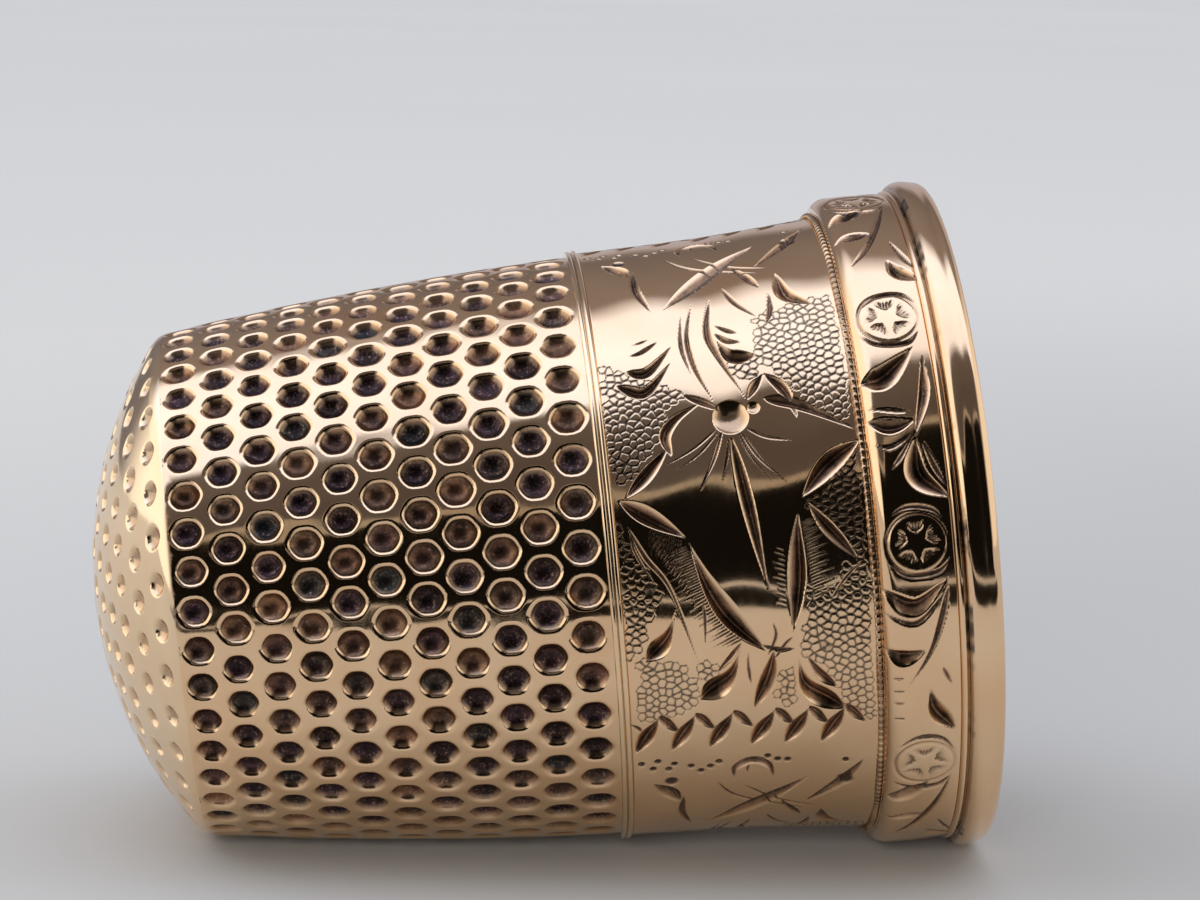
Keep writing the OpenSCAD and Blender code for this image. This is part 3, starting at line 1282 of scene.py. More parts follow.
BAND_STROKES = strokes(
    1.15,
    # kite-shaped panel, from its left corner round to the right
    (0.30, 0.45, 0.35, (8.60, -9.2), (8.02, -13.4), (7.44, -18.3)),
    (0.26, 0.40, 0.30, (7.42, -16.2), (7.52, -20.2), (7.20, -23.4), (6.58, -25.9)),
    (0.17, 0.45, 0.00, (7.00, -27.9), (6.55, -26.0), (6.08, -23.6)),
    (0.20, 0.55, 0.00, (5.01, -30.3), (5.25, -28.2), (5.47, -25.4)),
    (0.24, 0.45, 0.20, (5.01, -30.3), (4.60, -26.6), (4.34, -20.4)),
    (0.28, 0.35, -0.30, (5.08, -25.4), (4.28, -23.3), (2.95, -16.9)),
    (0.46, 0.50, -0.25, (2.96, -15.4), (3.72, -11.8), (4.48, -6.2)),
    (0.40, 0.45, -0.25, (8.78, -8.9), (8.10, -5.4), (7.26, -0.9)),
    # cusp of the panel: a serrated stroke and a tall notched one
    (0.46, 0.60, -0.40, (7.28, -1.2), (6.87, 7.5), (6.33, 14.9), (5.60, 21.2)),
    (0.40, 0.62, 0.35, (4.58, -5.2), (4.69, 0.8), (4.78, 8.7), (4.94, 17.8)),
    (0.30, 0.55, 0.20, (4.40, -5.8), (3.95, -0.5), (3.26, 5.8)),
    (0.09, 0.50, 0.00, (3.10, 5.2), (3.60, 8.5), (4.08, 13.0)),
    (0.30, 0.42, 0.10, (5.98, -19.0), (5.74, -5.0), (5.46, 10.0)),
    # fine rays from the round punch
    (0.09, 0.35, 0.00, (6.15, -20.0), (6.45, -14.5), (6.85, -9.0)),
    (0.05, 0.35, 0.00, (6.25, -20.5), (6.95, -16.8), (7.90, -13.6)),
    (0.04, 0.35, 0.00, (6.22, -20.0), (6.80, -15.8), (7.50, -13.0)),
    (0.09, 0.35, 0.00, (5.75, -19.5), (5.35, -14.0), (4.76, -9.1)),
    (0.06, 0.35, 0.00, (5.80, -19.5), (5.55, -14.5), (5.10, -9.5)),
    (0.08, 0.35, 0.00, (5.60, -20.0), (5.10, -17.8), (4.40, -16.5)),
    (0.05, 0.40, 0.00, (6.02, -18.5), (6.12, -14.5), (6.30, -10.5)),
    # twin stems
    (0.15, 0.50, 0.30, (6.45, -49.6), (6.70, -41.0), (6.62, -33.5), (6.28, -25.6)),
    (0.20, 0.45, -0.30, (6.00, -50.0), (6.18, -42.0), (6.04, -36.0), (5.50, -25.4)),
    (0.12, 0.50, 0.00, (6.75, -47.0), (6.86, -39.0), (6.72, -31.5)),
    # crescents beside the stems
    (0.12, 0.60, 0.00, (8.20, -37.6), (7.85, -38.2), (7.38, -40.6)),
    (0.06, 0.60, 0.00, (8.10, -40.3), (7.85, -40.6), (7.60, -41.4)),
    (0.27, 0.40, 0.30, (8.25, -34.0), (7.75, -33.6), (7.05, -39.2)),
    (0.30, 0.36, 0.30, (8.52, -31.2), (7.85, -29.4), (7.12, -35.4)),
    (0.12, 0.50, 0.00, (6.02, -42.9), (5.70, -41.0), (5.46, -40.2)),
    (0.15, 0.45, 0.00, (6.04, -40.8), (5.75, -38.6), (5.40, -37.9)),
    (0.36, 0.62, -0.30, (6.05, -39.6), (5.72, -35.2), (5.12, -34.4)),
    # leaves above the stipple
    (0.34, 0.50, 0.30, (4.30, -55.0), (4.18, -48.5), (3.55, -44.4)),
    (0.16, 0.50, 0.00, (4.55, -50.0), (4.60, -45.0), (4.78, -41.0)),
    (0.12, 0.50, 0.00, (5.65, -53.0), (5.40, -48.0), (4.92, -43.4)),
    (0.46, 0.50, -0.30, (7.15, -48.8), (6.40, -54.5), (5.60, -61.0), (4.60, -68.5)),
    (0.30, 0.50, 0.25, (4.80, -58.0), (3.90, -66.0), (3.30, -73.5)),
    (0.20, 0.45, 0.00, (7.70, -63.5), (7.72, -56.0), (7.45, -48.6)),
    (0.40, 0.50, 0.20, (8.45, -68.5), (8.05, -65.0), (7.75, -61.0)),
    (0.20, 0.50, 0.00, (5.35, -60.0), (5.00, -55.0), (4.75, -51.5)),
    # foot of the layout: long thin blade, teardrops and buds
    (0.13, 0.35, 0.10, (8.65, -4.2), (8.28, 2.0), (7.74, 8.6), (7.14, 25.0)),
    (0.08, 0.50, 0.00, (8.62, -4.2), (8.50, 1.0), (8.05, 8.0)),
    (0.44, 0.72, 0.20, (7.62, 11.0), (7.94, 17.0), (8.48, 21.4)),
    (0.54, 0.74, 0.20, (6.10, 17.8), (6.50, 25.6), (7.24, 30.2)),
    (0.14, 0.50, 0.00, (6.16, 18.9), (6.45, 21.8), (6.84, 25.0)),
    (0.38, 0.55, 0.00, (5.40, 20.4), (5.60, 27.0), (5.98, 33.2)),
    (0.50, 0.70, -0.20, (4.90, 21.0), (4.66, 29.0), (3.76, 34.2)),
    (0.24, 0.60, 0.00, (4.72, 21.6), (4.36, 26.4), (3.96, 29.4)),
    (0.10, 0.60, 0.00, (6.04, 20.4), (6.05, 24.4), (6.00, 27.6)),
    (0.08, 0.50, 0.00, (7.02, 9.6), (7.00, 14.0), (7.04, 19.2)),
    (0.10, 0.50, 0.00, (5.40, 15.6), (5.36, 18.6), (5.60, 22.4)),
    (0.12, 0.50, 0.00, (5.75, 19.8), (5.30, 21.0), (4.90, 21.0)),
    (0.10, 0.50, 0.00, (5.45, 23.0), (5.15, 20.2), (4.95, 18.6)),
    # scroll and stems below the chevrons
    (0.24, 0.50, 0.00, (5.50, 52.6), (5.62, 48.0), (6.02, 46.0), (6.45, 48.2), (6.46, 51.8)),
    (0.07, 0.50, 0.00, (6.10, 47.2), (6.15, 48.4), (6.14, 49.6)),
    (0.12, 0.50, 0.00, (6.95, 51.5), (6.30, 58.5), (4.60, 64.5)),
    (0.12, 0.50, 0.00, (6.30, 53.0), (5.40, 60.0), (4.40, 63.0)),
)
STIPPLED = (
    ((8.86, -36.0), (8.30, -34.5), (7.55, -30.5), (7.00, -28.0), (7.35, -25.5), (7.65, -21.0),
     (7.80, -17.5), (8.35, -13.0), (8.86, -10.5)),
    ((5.00, -43.5), (4.20, -46.0), (3.06, -46.5), (3.06, -18.5), (4.20, -24.0), (4.60, -29.0),
     (5.02, -31.8), (5.40, -29.0), (5.92, -31.5), (5.95, -34.5), (5.20, -35.0)),
    ((3.06, -13.5), (3.60, -10.0), (4.30, -5.0), (3.75, 0.0), (3.25, 5.0), (3.06, 5.0)),
    ((4.55, 9.5), (4.05, 11.5), (3.55, 6.0), (3.06, 6.0), (3.06, 36.5), (3.75, 36.0),
     (3.85, 33.5), (4.00, 27.0), (4.80, 21.5), (4.60, 15.0)),
    ((8.86, -5.0), (8.70, -2.0), (8.45, 3.0), (8.00, 9.0), (8.20, 13.0), (8.70, 20.0),
     (8.86, 20.0)),
    ((8.66, 21.5), (7.75, 21.0), (7.40, 25.0), (7.25, 30.5), (7.80, 34.0), (8.70, 34.0)),
    ((5.42, 26.0), (4.98, 25.0), (4.92, 31.0), (5.10, 33.0), (5.38, 32.0)),
    ((6.75, 22.5), (7.20, 22.0), (7.10, 27.5), (6.85, 25.5)),
)
BORDER_STROKES = strokes(
    1.25,
    # crescents over and under each medallion
    (0.13, 0.50, 0.00, (2.64, -38.2), (2.10, -41.0), (1.50, -41.0), (1.15, -38.6)),
    (0.15, 0.50, 0.00, (2.72, -33.4), (2.30, -31.2), (1.55, -31.0), (1.22, -33.4)),
    (0.13, 0.50, 0.00, (2.60, -1.2), (2.10, -2.6), (1.50, -1.8), (1.25, 0.4)),
    (0.16, 0.50, 0.00, (2.66, 6.4), (2.20, 8.6), (1.50, 8.4), (1.16, 6.2)),
    (0.13, 0.50, 0.00, (2.66, 41.2), (2.10, 39.0), (1.55, 39.6), (1.15, 43.2)),
    (0.18, 0.50, 0.00, (2.75, 49.6), (2.20, 51.8), (1.60, 51.6), (1.25, 48.8)),
    # fat leaves, slim crescents and a fan
    (0.50, 0.45, 0.35, (2.84, -24.4), (2.25, -25.0), (1.46, -29.9)),
    (0.22, 0.50, -0.30, (1.28, -28.2), (1.36, -21.5), (1.72, -14.0)),
    (0.34, 0.45, -0.30, (2.80, -17.4), (2.25, -16.3), (1.66, -16.9)),
    (0.10, 0.50, 0.00, (2.78, -19.6), (2.20, -18.9), (1.72, -18.2)),
    (0.08, 0.50, 0.00, (2.72, -13.4), (2.30, -12.6), (1.76, -14.6)),
    (0.10, 0.50, 0.00, (2.40, -8.8), (2.10, -11.0), (1.78, -14.2)),
    (0.44, 0.50, 0.40, (1.74, -14.0), (1.78, -7.6), (1.04, -3.4)),
    (0.14, 0.50, 0.00, (1.60, -13.8), (1.34, -9.0), (1.10, -5.2)),
    (0.36, 0.42, 0.30, (2.84, 10.8), (2.10, 14.0), (1.26, 9.6)),
    (0.12, 0.45, 0.00, (2.84, 14.8), (2.05, 16.6), (1.30, 11.2)),
    (0.36, 0.45, 0.20, (2.84, 21.4), (2.40, 22.8), (1.86, 21.6)),
    (0.16, 0.30, 0.00, (1.27, 11.0), (1.52, 17.4), (1.82, 22.6), (2.44, 29.2)),
    (0.38, 0.62, -0.30, (1.84, 28.0), (1.66, 33.4), (1.20, 38.0)),
    (0.10, 0.50, 0.00, (1.52, 24.8), (1.42, 26.4), (1.28, 28.4)),
    *((0.06, 0.50, 0.00, (2.72, turn), (2.56, turn + 0.1), (2.40, turn))
      for turn in (26.4, 28.9, 31.3, 34.4)),
    # the third gap
    (0.44, 0.45, 0.30, (2.80, -64.2), (2.30, -66.5), (1.78, -69.6)),
    (0.30, 0.50, -0.25, (2.80, -57.0), (2.30, -58.0), (1.84, -58.6)),
    (0.18, 0.50, 0.20, (1.24, -72.0), (1.62, -62.0), (2.10, -53.5), (2.55, -49.0)),
    (0.34, 0.55, 0.30, (1.66, -50.0), (1.46, -46.6), (0.98, -44.4)),
    (0.12, 0.50, 0.00, (1.50, -56.0), (1.25, -50.5), (0.98, -47.0)),
)


@dataclass(frozen=True)
class Hatch:
    """A fringe of fine strokes that start along one line and lean off it."""

    first: Spot
    last: Spot
    lean: Spot
    count: int
    width: float = 0.045

    def cuts(self) -> tuple[Cut, ...]:
        """Draw the strokes at even steps from first to last.

        Each is as long as the lean, less up to half of it by a sine of its
        number, and bows a little upwards.

        Returns:
            The strokes.
        """
        made = []
        for k in range(self.count):
            t = k / (self.count - 1)
            z = self.first[0] + t * (self.last[0] - self.first[0])
            turn = self.first[1] + t * (self.last[1] - self.first[1])
            size = 0.75 + 0.25 * math.sin(2.3 * k)
            end = (z + self.lean[0] * size, turn + self.lean[1] * size)
            middle = ((z + end[0]) / 2 + 0.02, (turn + end[1]) / 2)
            made.append(Cut(((z, turn), middle, end), self.width, 0.3))
        return tuple(made)


FRINGES = (
    Hatch((7.26, 0.6), (6.78, 9.4), (0.86, 2.4), 20),
    Hatch((6.76, 9.8), (6.15, 18.4), (0.74, 2.8), 17),
    Hatch((8.10, -3.4), (7.40, -0.6), (0.10, 6.4), 14),
    Hatch((8.10, 0.5), (7.40, 9.5), (-0.36, -3.2), 14),
    Hatch((4.56, -1.6), (4.42, 11.6), (-0.66, -1.6), 24),
    Hatch((5.00, 3.0), (5.06, 13.0), (0.34, -1.2), 12),
)


EDGE_DOTS = ((3.78, 47.0), (5.18, 46.4), (5.42, 46.2), (5.66, 45.2), (6.84, 46.0), (7.05, 47.2),
             (7.28, 48.4), (7.52, 46.8), (7.92, 45.8), (8.06, 47.2), (8.32, 44.8), (8.44, 46.8),
             (8.72, 45.2))
PUNCHED = (*(Dot(place, 0.105, 0.050) for place in EDGE_DOTS), Dot((5.93, -22.4), 0.44, 0.17, 0.45),
           Dot((5.36, -23.8), 0.16, 0.06, 0.3), Dot((8.00, 51.2), 0.19, 0.07),
           Dot((3.78, 52.9), 0.24, 0.08))


def bordered(values: Array, before: int, after: int, fill: float) -> Array:
    """Values of a layout with rows of one fill value added before and after."""
    return np.pad(values, ((before, after), (0, 0)), constant_values=fill)


@dataclass
class EngravedBand:
    """Waisted band of bright-cut work on a stippled ground, with its sleeve."""

    axis: Axis
    foot: float = 3.03
    top: float = 8.93
    top_radius: float = 7.44
    sleeve_radius: float = 7.78
    waist: float = 0.07
    repeats: int = 3
    columns: int = 800
    rows: int = 220
    first_turn: float = math.radians(-75.0)
    chevrons: tuple[float, ...] = (8.24, 7.37, 6.46, 5.46, 4.65, 3.78)
    seat: Corner = (7.12, 8.13)
    bore: tuple[Corner, ...] = ((6.80, 8.13), (7.33, 3.03), (7.50, 1.20))
    sleeve_end: float = 0.60

    def radius(self, height: Array) -> Array:
        """Outside: a straight taper less waist * sin of pi times the place up it."""
        t = (height - self.foot) / (self.top - self.foot)
        return (self.sleeve_radius + (self.top_radius - self.sleeve_radius) * t
                - self.waist * np.sin(np.pi * t))

    def layout(self, heights: Array) -> Layout:
        """Draw one repeat of the engraving.

        Args:
            heights: heights of the outside's rows.

        Returns:
            The layout, with every cut, dot and pebble in it.
        """
        work = Layout(heights, self.columns, 7.6, self.first_turn, TAU / self.repeats)
        for stroke in BAND_STROKES:
            work.cut(stroke)
        for fringe in FRINGES:
            for stroke in fringe.cuts():
                work.cut(stroke)
        for z in self.chevrons:
            apex = (z, 33.2)
            work.cut(Cut((apex, (z - 0.22, 35.4), (z - 0.50, 37.6)), 0.30, 0.4))
            work.cut(Cut(((z - 0.04, 33.2), (z + 0.28, 37.4), (z + 0.62, 42.0)), 0.42, 0.6, 0.3))
        work.cut(Cut(((8.95, 34.6), (8.75, 35.8), (8.66, 36.8)), 0.12))
        for dot in PUNCHED:
            work.punch(dot)
        work.stipple(STIPPLED, 76, 11)
        return work

    def build(self, finish: bpy.types.Material) -> list[bpy.types.Object]:
        """Make the band in equal arcs, two to a repeat, that meet edge to edge.

        Between the cuts the metal waves by a product of sines, since a graver
        never leaves it true.

        Args:
            finish: the band's material.

        Returns:
            The arcs.
        """
        heights = np.linspace(self.foot, self.top - 0.02, self.rows)
        work = self.layout(heights)
        inside = eased(np.array([(self.top_radius - 0.02, self.top), (self.seat[0], self.top),
                                 self.seat, *self.bore, (self.bore[-1][0], self.sleeve_end),
                                 (self.sleeve_radius - 0.08, self.sleeve_end)]), 0.03)
        sleeve = np.array([(self.sleeve_radius, self.sleeve_end + 0.02),
                           (self.sleeve_radius, 1.8), (self.sleeve_radius, self.foot - 0.03)])
        outline = np.vstack([sleeve, np.stack([self.radius(heights), heights], 1), inside])
        sag = 0.012 * np.sin(TAU * heights[:, None] / 2.9 + 0.8) * np.sin(
            TAU * np.arange(self.columns)[None] / self.columns * 5)
        relief, shade, tint = (
            bordered(np.hstack([values, values[:, :1]]), len(sleeve), len(inside), fill)
            for values, fill in ((sag - work.depth, 0.0), (work.shade, INNER_RECESS),
                                 (work.tint, INNER_TINT)))
        arcs, count = [], 2 * self.repeats
        for k in range(count):
            half = self.columns // 2
            part = np.s_[:, k % 2 * half:(k % 2 + 1) * half + 1]
            skin = Lathe(self.axis).ring(outline, half, relief[part], shade[part],
                                         self.first_turn + k * TAU / count, TAU / count)
            skin.tint = tint[part].ravel()
            arcs.append(dressed(skin.mesh_object(f"engraved_arc_{k + 1}"), finish, Slot.ROSE,
                                "engraved_band"))
        return arcs


@dataclass
class BorderBand:
    """Raised border with star medallions and leaf cuts, rounded at its top."""

    axis: Axis
    radius: float = 8.24
    foot: float = 1.07
    top: float = 2.87
    round_: float = 0.38
    seat: float = 7.78
    repeats: int = 3
    columns: int = 480
    rows: int = 42
    first_turn: float = math.radians(-75.0)
    medallion_height: float = 1.93
    medallions: tuple[float, ...] = (-36.4, 3.4, 45.2)

    def build(self, finish: bpy.types.Material) -> list[bpy.types.Object]:
        """Make the border as one closed ring, bulged by the sine of the way up it.

        Args:
            finish: the border's material.

        Returns:
            The piece, in a list.
        """
        face_heights = np.linspace(self.foot, self.top - self.round_, self.rows)
        face = np.stack([np.full(self.rows, self.radius), face_heights], 1)
        bend = arc((self.radius - self.round_, self.top - self.round_), self.round_, 6, 84, 13)
        outside = np.vstack([face, bend])
        work = Layout(outside[:, 1], self.columns, self.radius, self.first_turn,
                      TAU / self.repeats)
        for stroke in BORDER_STROKES:
            work.cut(stroke)
        for turn in self.medallions:
            work.medallion(Star((self.medallion_height, turn)))
        under = np.array([(self.seat + 0.12, self.top), (self.seat, self.top),
                          (self.seat, self.foot), (self.radius - 0.04, self.foot)])
        bulge = 0.020 * np.sin(np.pi * np.clip((outside[:, 1] - self.foot)
                                               / (self.top - self.foot), 0, 1))
        relief, shade, tint = (
            bordered(np.tile(values, (1, self.repeats)), 0, len(under), fill)
            for values, fill in ((bulge[:, None] - work.depth, 0.0), (work.shade, 0.3),
                                 (work.tint, INNER_TINT)))
        skin = Lathe(self.axis).ring(np.vstack([outside, under]), self.columns * self.repeats,
                                     relief, shade, self.first_turn)
        skin.tint = tint.ravel()
        return [dressed(skin.mesh_object("border_ring"), finish, Slot.ROSE, "border_band")]


# ---------------------------------------------------------------- wires and rim


@dataclass
class FilletWire:
    """Fine double-beaded wire between the wall and the band."""

    axis: Axis
    foot: float = 8.93
    top: float = 9.21
    radius: float = 7.52
    seat: float = 7.12
    bead: float = 0.066
    hollow: float = 7.46
    columns: int = 360

    def build(self, finish: bpy.types.Material) -> list[bpy.types.Object]:
        """Make the wire: two half-round beads with a hollow between them.

        Args:
            finish: the wire's material.

        Returns:
            The piece, in a list.
        """
        low = arc((self.radius - self.bead, self.foot + self.bead), self.bead, -85, 75, 9)
        high = arc((self.radius - 0.02 - self.bead, self.top - self.bead), self.bead, -75, 85, 9)
        middle = (self.foot + self.top) / 2
        waist = np.array([(self.hollow, middle - 0.006), (self.hollow, middle + 0.006)])
        outline = np.vstack([low, waist, high, [(self.seat, self.top), (self.seat, self.foot)]])
        shade = np.zeros((len(outline), self.columns))
        # painted shade in the hollow between the two beads
        shade[len(low):len(low) + len(waist)] = 0.75
        skin = Lathe(self.axis).ring(outline, self.columns, None, shade)
        return [dressed(skin.mesh_object("fillet_beads"), finish, Slot.PALE, "fillet_wire")]


@dataclass
class BeadedEdge:
    """Fine beaded wire along the border's top edge."""

    axis: Axis
    centre: Corner = (7.845, 2.95)
    bead_radius: float = 0.078
    neck_radius: float = 0.056
    beads: int = 248
    steps_per_bead: int = 8
    steps_round: int = 10

    def build(self, finish: bpy.types.Material) -> list[bpy.types.Object]:
        """Make the beads.

        The wire's radius is that of a ball round each bead's centre, and of a
        thin neck between two balls.

        Args:
            finish: the wire's material.

        Returns:
            The piece, in a list.
        """
        columns = self.beads * self.steps_per_bead
        turn = TAU * np.arange(columns) / columns
        pitch = TAU / self.beads
        off = wrap(turn, pitch) * self.centre[0]
        girth = np.sqrt(np.maximum(self.bead_radius**2 - off**2, self.neck_radius**2))
        around = (TAU * np.arange(self.steps_round) / self.steps_round)[:, None]
        radius = self.centre[0] + girth * np.cos(around)
        height = self.centre[1] + girth * np.sin(around)
        points = self.axis.place(radius, np.broadcast_to(turn, radius.shape), height)
        index = np.arange(points[..., 0].size).reshape(radius.shape)
        # darkening that rises and falls along the wire, and painted shade in the necks between
        # beads
        darkening_round = 0.5 + 0.25 * np.sin(9 * turn + 1.0) * np.sin(23 * turn)
        shade = darkening_round + 0.4 * smooth(0.75, 1.0, abs(off) / self.centre[0] / pitch * 2)
        skin = Skin(points.reshape(-1, 3), grid_normals(points, True, True).reshape(-1, 3),
                    [quads(index, around=True, looped=True)],
                    np.broadcast_to(shade, radius.shape).ravel(), np.full(radius.size, 0.55))
        return [dressed(skin.mesh_object("milled_beads"), finish, Slot.PALE, "beaded_edge")]


@dataclass
class RimRing:
    """Heavy rim: rolled mouth edge, convex face, groove and bead moulding."""

    axis: Axis
    bore: float = 7.50
    lead_in: float = 0.12
    seat_depth: float = 0.60
    seat_radius: float = 7.78
    roll: Corner = (8.20, 0.26)
    face: tuple[Corner, ...] = ((8.465, 0.30), (8.500, 0.48), (8.490, 0.68), (8.430, 0.80))
    groove: tuple[Corner, ...] = ((8.36, 0.845), (8.235, 0.855), (8.215, 0.872))
    moulding: Corner = (8.205, 0.965)
    moulding_radius: float = 0.095
    top: float = 1.07
    steps: int = 14
    columns: int = 540

    def build(self, finish: bpy.types.Material) -> list[bpy.types.Object]:
        """Make the ring from a closed outline, mouth first and up the outside.

        The roll's radius is its centre's height, so it touches the mouth's
        plane.  Grime lies in and beside the groove where the sum of two
        products of sines is high, and the whole groove is also darkened all
        round as painted shade.

        Args:
            finish: the rim's material.

        Returns:
            The piece, in a list.
        """
        roll = arc(self.roll, self.roll[1], -84, -6, self.steps)
        face = curve_through(np.array(self.face), self.steps)
        moulding = arc(self.moulding, self.moulding_radius, -70, 80, self.steps)
        groove = np.array(self.groove)
        inside = eased(np.array([(8.19, self.top), (self.seat_radius, self.top),
                                 (self.seat_radius, self.seat_depth),
                                 (self.bore, self.seat_depth), (self.bore, self.lead_in),
                                 (self.bore + self.lead_in, 0.0), (8.17, 0.0)]), 0.03)
        outline = np.vstack([roll, face, groove, moulding, inside])
        first = len(roll) + len(face)
        shade = np.zeros((len(outline), self.columns))
        turn = TAU * np.arange(self.columns) / self.columns
        grime = smooth(0.2, 0.9, np.sin(8 * turn + 1.9) * np.sin(13 * turn + 0.4)
                       + 0.45 * np.sin(41 * turn) * np.sin(67 * turn))
        # painted shade darkens the whole groove; the grime patches add to it here and beside it
        shade[first:first + len(groove)] = 0.55 + 0.4 * grime
        shade[first - 2:first] = shade[first + len(groove):first + len(groove) + 3] = 0.9 * grime
        skin = Lathe(self.axis).ring(outline, self.columns, None, shade)
        skin.tint = np.full(len(skin.points), 0.7)
        return [dressed(skin.mesh_object("rolled_rim"), finish, Slot.ROSE, "rim_ring")]


# ---------------------------------------------------------------- studio


@dataclass(frozen=True)
class Viewpoint:
    """Where the camera stands, in the shared frame and in degrees."""

    aim: tuple[float, float, float] = (0.001479, 0.000079, 0.00996)
    distance: float = 0.096805
    azimuth: float = 3.666
    elevation: float = 8.0
    roll: float = -1.196
    lens: float = 114.0

    def camera(self) -> bpy.types.Object:
        """Make the scene's camera: aim minus distance times the view's direction.

        Returns:
            The camera.
        """
        a, e, r = (math.radians(v) for v in (self.azimuth, self.elevation, self.roll))
        forward = Vector((math.sin(a) * math.cos(e), math.cos(a) * math.cos(e), -math.sin(e)))
        level = forward.cross(Vector((0, 0, 1))).normalized()
        down = forward.cross(level)
        right = level * math.cos(r) + down * math.sin(r)
        turned = Matrix((right, right.cross(forward), -forward)).transposed()
        data = bpy.data.cameras.new("camera")
        data.lens = self.lens
        data.sensor_width = 36.0
        data.clip_start, data.clip_end = 0.005, 50.0
        camera = bpy.data.objects.new("camera", data)
        camera.matrix_world = (Matrix.Translation(Vector(self.aim) - forward * self.distance)
                               @ turned.to_4x4())
        bpy.context.scene.collection.objects.link(camera)
        bpy.context.scene.camera = camera
        return camera


@dataclass(frozen=True)
class SoftLight:
    """Lamp that lights matt surfaces and isn't mirrored in metal."""

    name: str
    kind: str
    place: tuple[float, float, float]
    size: float
    power: float

    def lamp(self) -> bpy.types.Object:
        """Hang the lamp, facing the thimble.

        Returns:
            The lamp.
        """
        data = bpy.data.lights.new(self.name, self.kind)
        data.energy = self.power
        setattr(data, "angle" if self.kind == "SUN" else "size", self.size)
        lamp = bpy.data.objects.new(self.name, data)
        lamp.location = self.place
        lamp.rotation_euler = Vector(self.place).to_track_quat("Z", "Y").to_euler()
        lamp.visible_glossy = False
        bpy.context.scene.collection.objects.link(lamp)
        return lamp


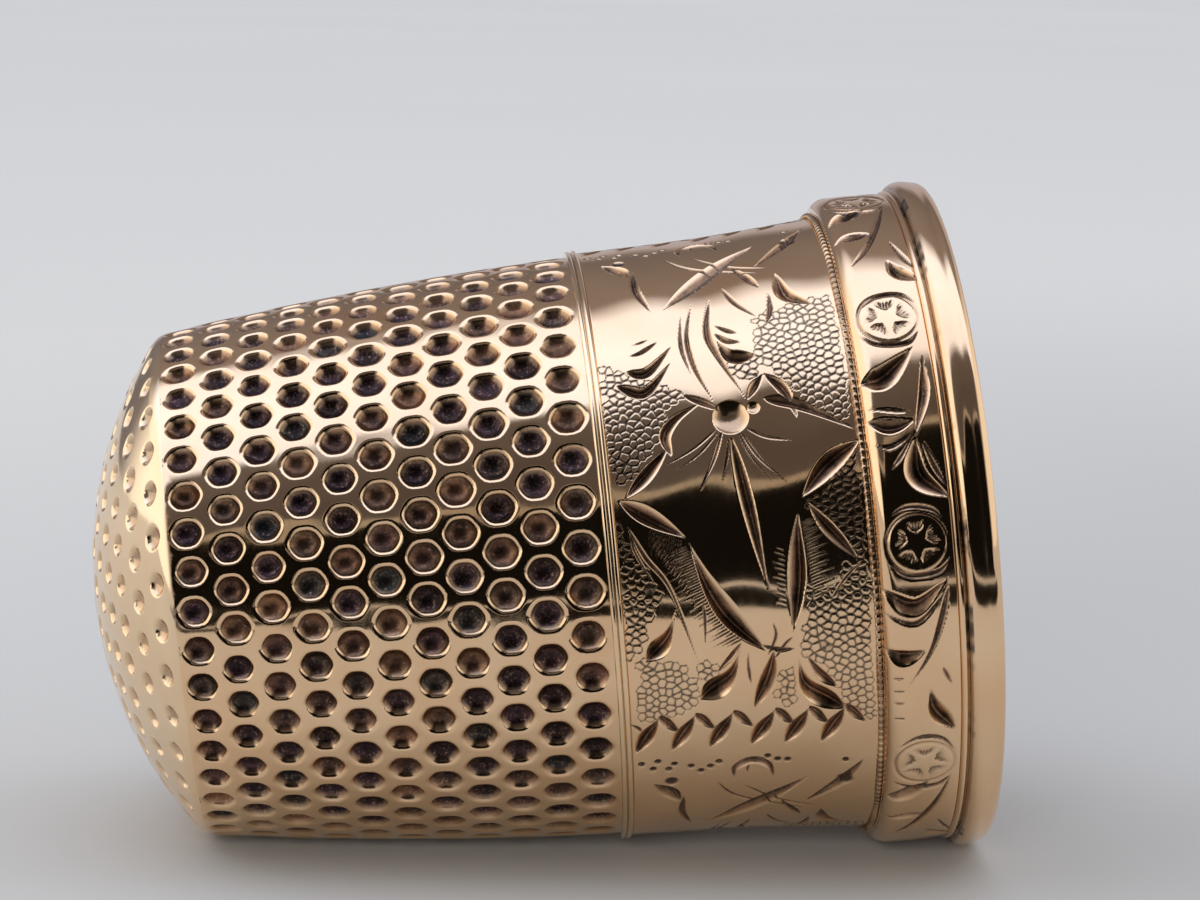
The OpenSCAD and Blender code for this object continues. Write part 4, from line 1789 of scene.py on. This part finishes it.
@dataclass(frozen=True)
class Studio:
    """Pale floor, overhead light strip, dim room, a dark card in front and painted shadows on the
    floor that only the metal sees.
    """

    floor_size: float = 6.0
    card_distance: float = 0.066
    card_top: tuple[tuple[float, float], ...] = (
        (-0.052, 0.040), (-0.036, 0.037), (-0.020, 0.035), (-0.012, 0.035), (-0.003, 0.036),
        (0.001, 0.040), (0.006, 0.046), (0.010, 0.053), (0.014, 0.060), (0.018, 0.063),
        (0.024, 0.065), (0.030, 0.066), (0.036, 0.066), (0.044, 0.066), (0.052, 0.066))
    edge_height: float = 0.005
    # apron: reach of the painted shadow apron in front of the card; strip: where the painted shadow
    # strip on the floor starts, and its ends at the crown and the mouth, m
    apron: float = 0.021
    strip: tuple[float, float, float] = (0.027, 0.034, 0.040)
    daylight: Colour = (0.86, 1.00, 1.34)
    room: Colour = (1.04, 0.98, 1.06)
    sky: tuple[tuple[float, float, bool], ...] = (
        (0.0, 0.09, False), (0.250, 0.09, False), (0.350, 0.13, False), (0.378, 1.35, True),
        (0.480, 1.55, True), (0.580, 1.45, True), (0.635, 0.26, False), (0.860, 0.17, False),
        (0.930, 0.45, False), (1.0, 0.45, False))
    strip_middle: float = 0.46
    strip_fan: float = 0.7
    ends: float = 1.15
    lights: tuple[SoftLight, ...] = (
        SoftLight("overhead", "SUN", (0.0, -0.10, 0.50), 1.5, 1.15),
        SoftLight("front_fill", "AREA", (-0.10, -0.50, 0.12), 0.25, 2.4))

    def world(self) -> None:
        """Light the room by the angle from the front, over the top, to the back.

        The strip fans out towards the mouth, because its angle is stretched
        with x about its own middle, and plain light fills both ends.
        """
        world = bpy.data.worlds.new("studio")
        bpy.context.scene.world = world
        world.use_nodes = True
        n = Nodes(world.node_tree)
        parts = n.add("SeparateXYZ", None, Vector=n.add("TexCoord").outputs["Generated"])
        x, y, z = parts.outputs
        angle = n.sum("DIVIDE", n.sum("ARCTAN2", z, n.sum("MULTIPLY", y, -1.0)), math.pi,
                      clamp=True)
        spread = n.sum("MULTIPLY", n.sum("SUBTRACT", angle, self.strip_middle),
                       n.sum("MULTIPLY_ADD", x, self.strip_fan, 1.0))
        angle = n.sum("ADD", spread, self.strip_middle, clamp=True)
        light = n.ramp(angle, [(place, tuple(v * c / 3 for c in (self.daylight if strip else
                                                                 self.room)))
                               for place, v, strip in self.sky])
        share = n.add("MapRange", {"interpolation_type": "SMOOTHSTEP"}, Value=n.sum("ABSOLUTE", x),
                      From_Min=0.55, From_Max=0.85).outputs[0]
        side = n.sum("MULTIPLY_ADD", x, -0.06 * self.ends, self.ends / 3)
        side = n.add("CombineColor", None, Red=side, Green=side, Blue=side).outputs[0]
        light = n.blend(share, light, side)
        back = n.add("Background", None, Color=light, Strength=3.0)
        n.add("OutputWorld", None, Surface=back.outputs[0])

    def floor(self) -> bpy.types.Object:
        """Make the floor, a plane at the height of nought.

        Returns:
            The floor.
        """
        half = self.floor_size / 2
        mesh = bpy.data.meshes.new("floor")
        mesh.from_pydata([(-half, -half, 0), (half, -half, 0), (half, half, 0), (-half, half, 0)],
                         [], [(0, 1, 2, 3)])
        floor = bpy.data.objects.new("floor", mesh)
        floor.data.materials.append(FloorFinish().material())
        bpy.context.scene.collection.objects.link(floor)
        return floor

    def card(self) -> None:
        """Make what only polished metal sees, all of it hidden from the camera.

        A dark card stands in front with a pale edge on top, and a dark apron
        lies at its foot, a painted shadow on the floor.  A dark strip lies
        nearer, wider towards the mouth, another painted shadow on the floor.
        """
        y, lift = -self.card_distance, 0.0003
        across = np.array([x for x, _ in self.card_top])
        start, crown_end, mouth_end = self.strip
        reach = np.interp(across, (-0.012, 0.0), (crown_end, mouth_end))

        def line(ahead: Array | float, height: Array | float) -> list[tuple[float, ...]]:
            """Points across the card, so far ahead of it and so high."""
            return np.stack(np.broadcast_arrays(across, y + ahead, height), 1).tolist()

        tops = np.array([z for _, z in self.card_top])
        for name, under, over, glow in (
                ("dark_card", line(0, 0), line(0, tops), 0.006),
                ("card_edge", line(0, tops), line(0, tops + self.edge_height), 0.38),
                # the apron and the strip are painted shadows lying on the floor, seen only in the
                # metal
                ("painted_shadow_apron", line(0, 0), line(self.apron, lift), 0.008),
                ("painted_shadow_strip", line(start, lift), line(reach, lift), 0.008)):
            mesh = bpy.data.meshes.new(name)
            index = np.arange(2 * len(across)).reshape(2, -1)
            mesh.from_pydata(under + over, [], quads(index)[:, ::-1].tolist())
            card = bpy.data.objects.new(name, mesh)
            material = bpy.data.materials.new(name)
            material.use_nodes = True
            n = Nodes(material.node_tree)
            shader = n.add("Emission", None, Color=(1.0, 0.95, 0.88, 1.0), Strength=glow)
            n.add("OutputMaterial", None, Surface=shader.outputs[0])
            mesh.materials.append(material)
            card.visible_camera = card.visible_diffuse = card.visible_shadow = False
            bpy.context.scene.collection.objects.link(card)


def main() -> None:
    """Build the thimble piece by piece, then the studio and the camera."""
    logging.basicConfig(level=logging.INFO, format="%(name)s: %(message)s")
    axis = Axis.from_record(frame["record"])
    body = Body()
    rose = GoldFinish("rose_gold").material()
    pale = GoldFinish("pale_gold", bright=(0.95, 0.72, 0.47), warm=(0.90, 0.64, 0.39)).material()

    for maker, finish in ((Crown(axis, body), pale), (PittedWall(axis, body), rose),
                          (FilletWire(axis), pale), (EngravedBand(axis), rose),
                          (BeadedEdge(axis), pale), (BorderBand(axis), rose),
                          (RimRing(axis), rose)):
        for piece in maker.build(finish):
            log.info("%s: %d faces in %s", piece.name, len(piece.data.polygons), finish.name)

    studio = Studio()
    studio.world()
    studio.floor()
    studio.card()
    for light in studio.lights:
        light.lamp()
    Viewpoint().camera()
    bpy.context.scene.view_settings.view_transform = "Standard"


if __name__ == "__main__":
    main()
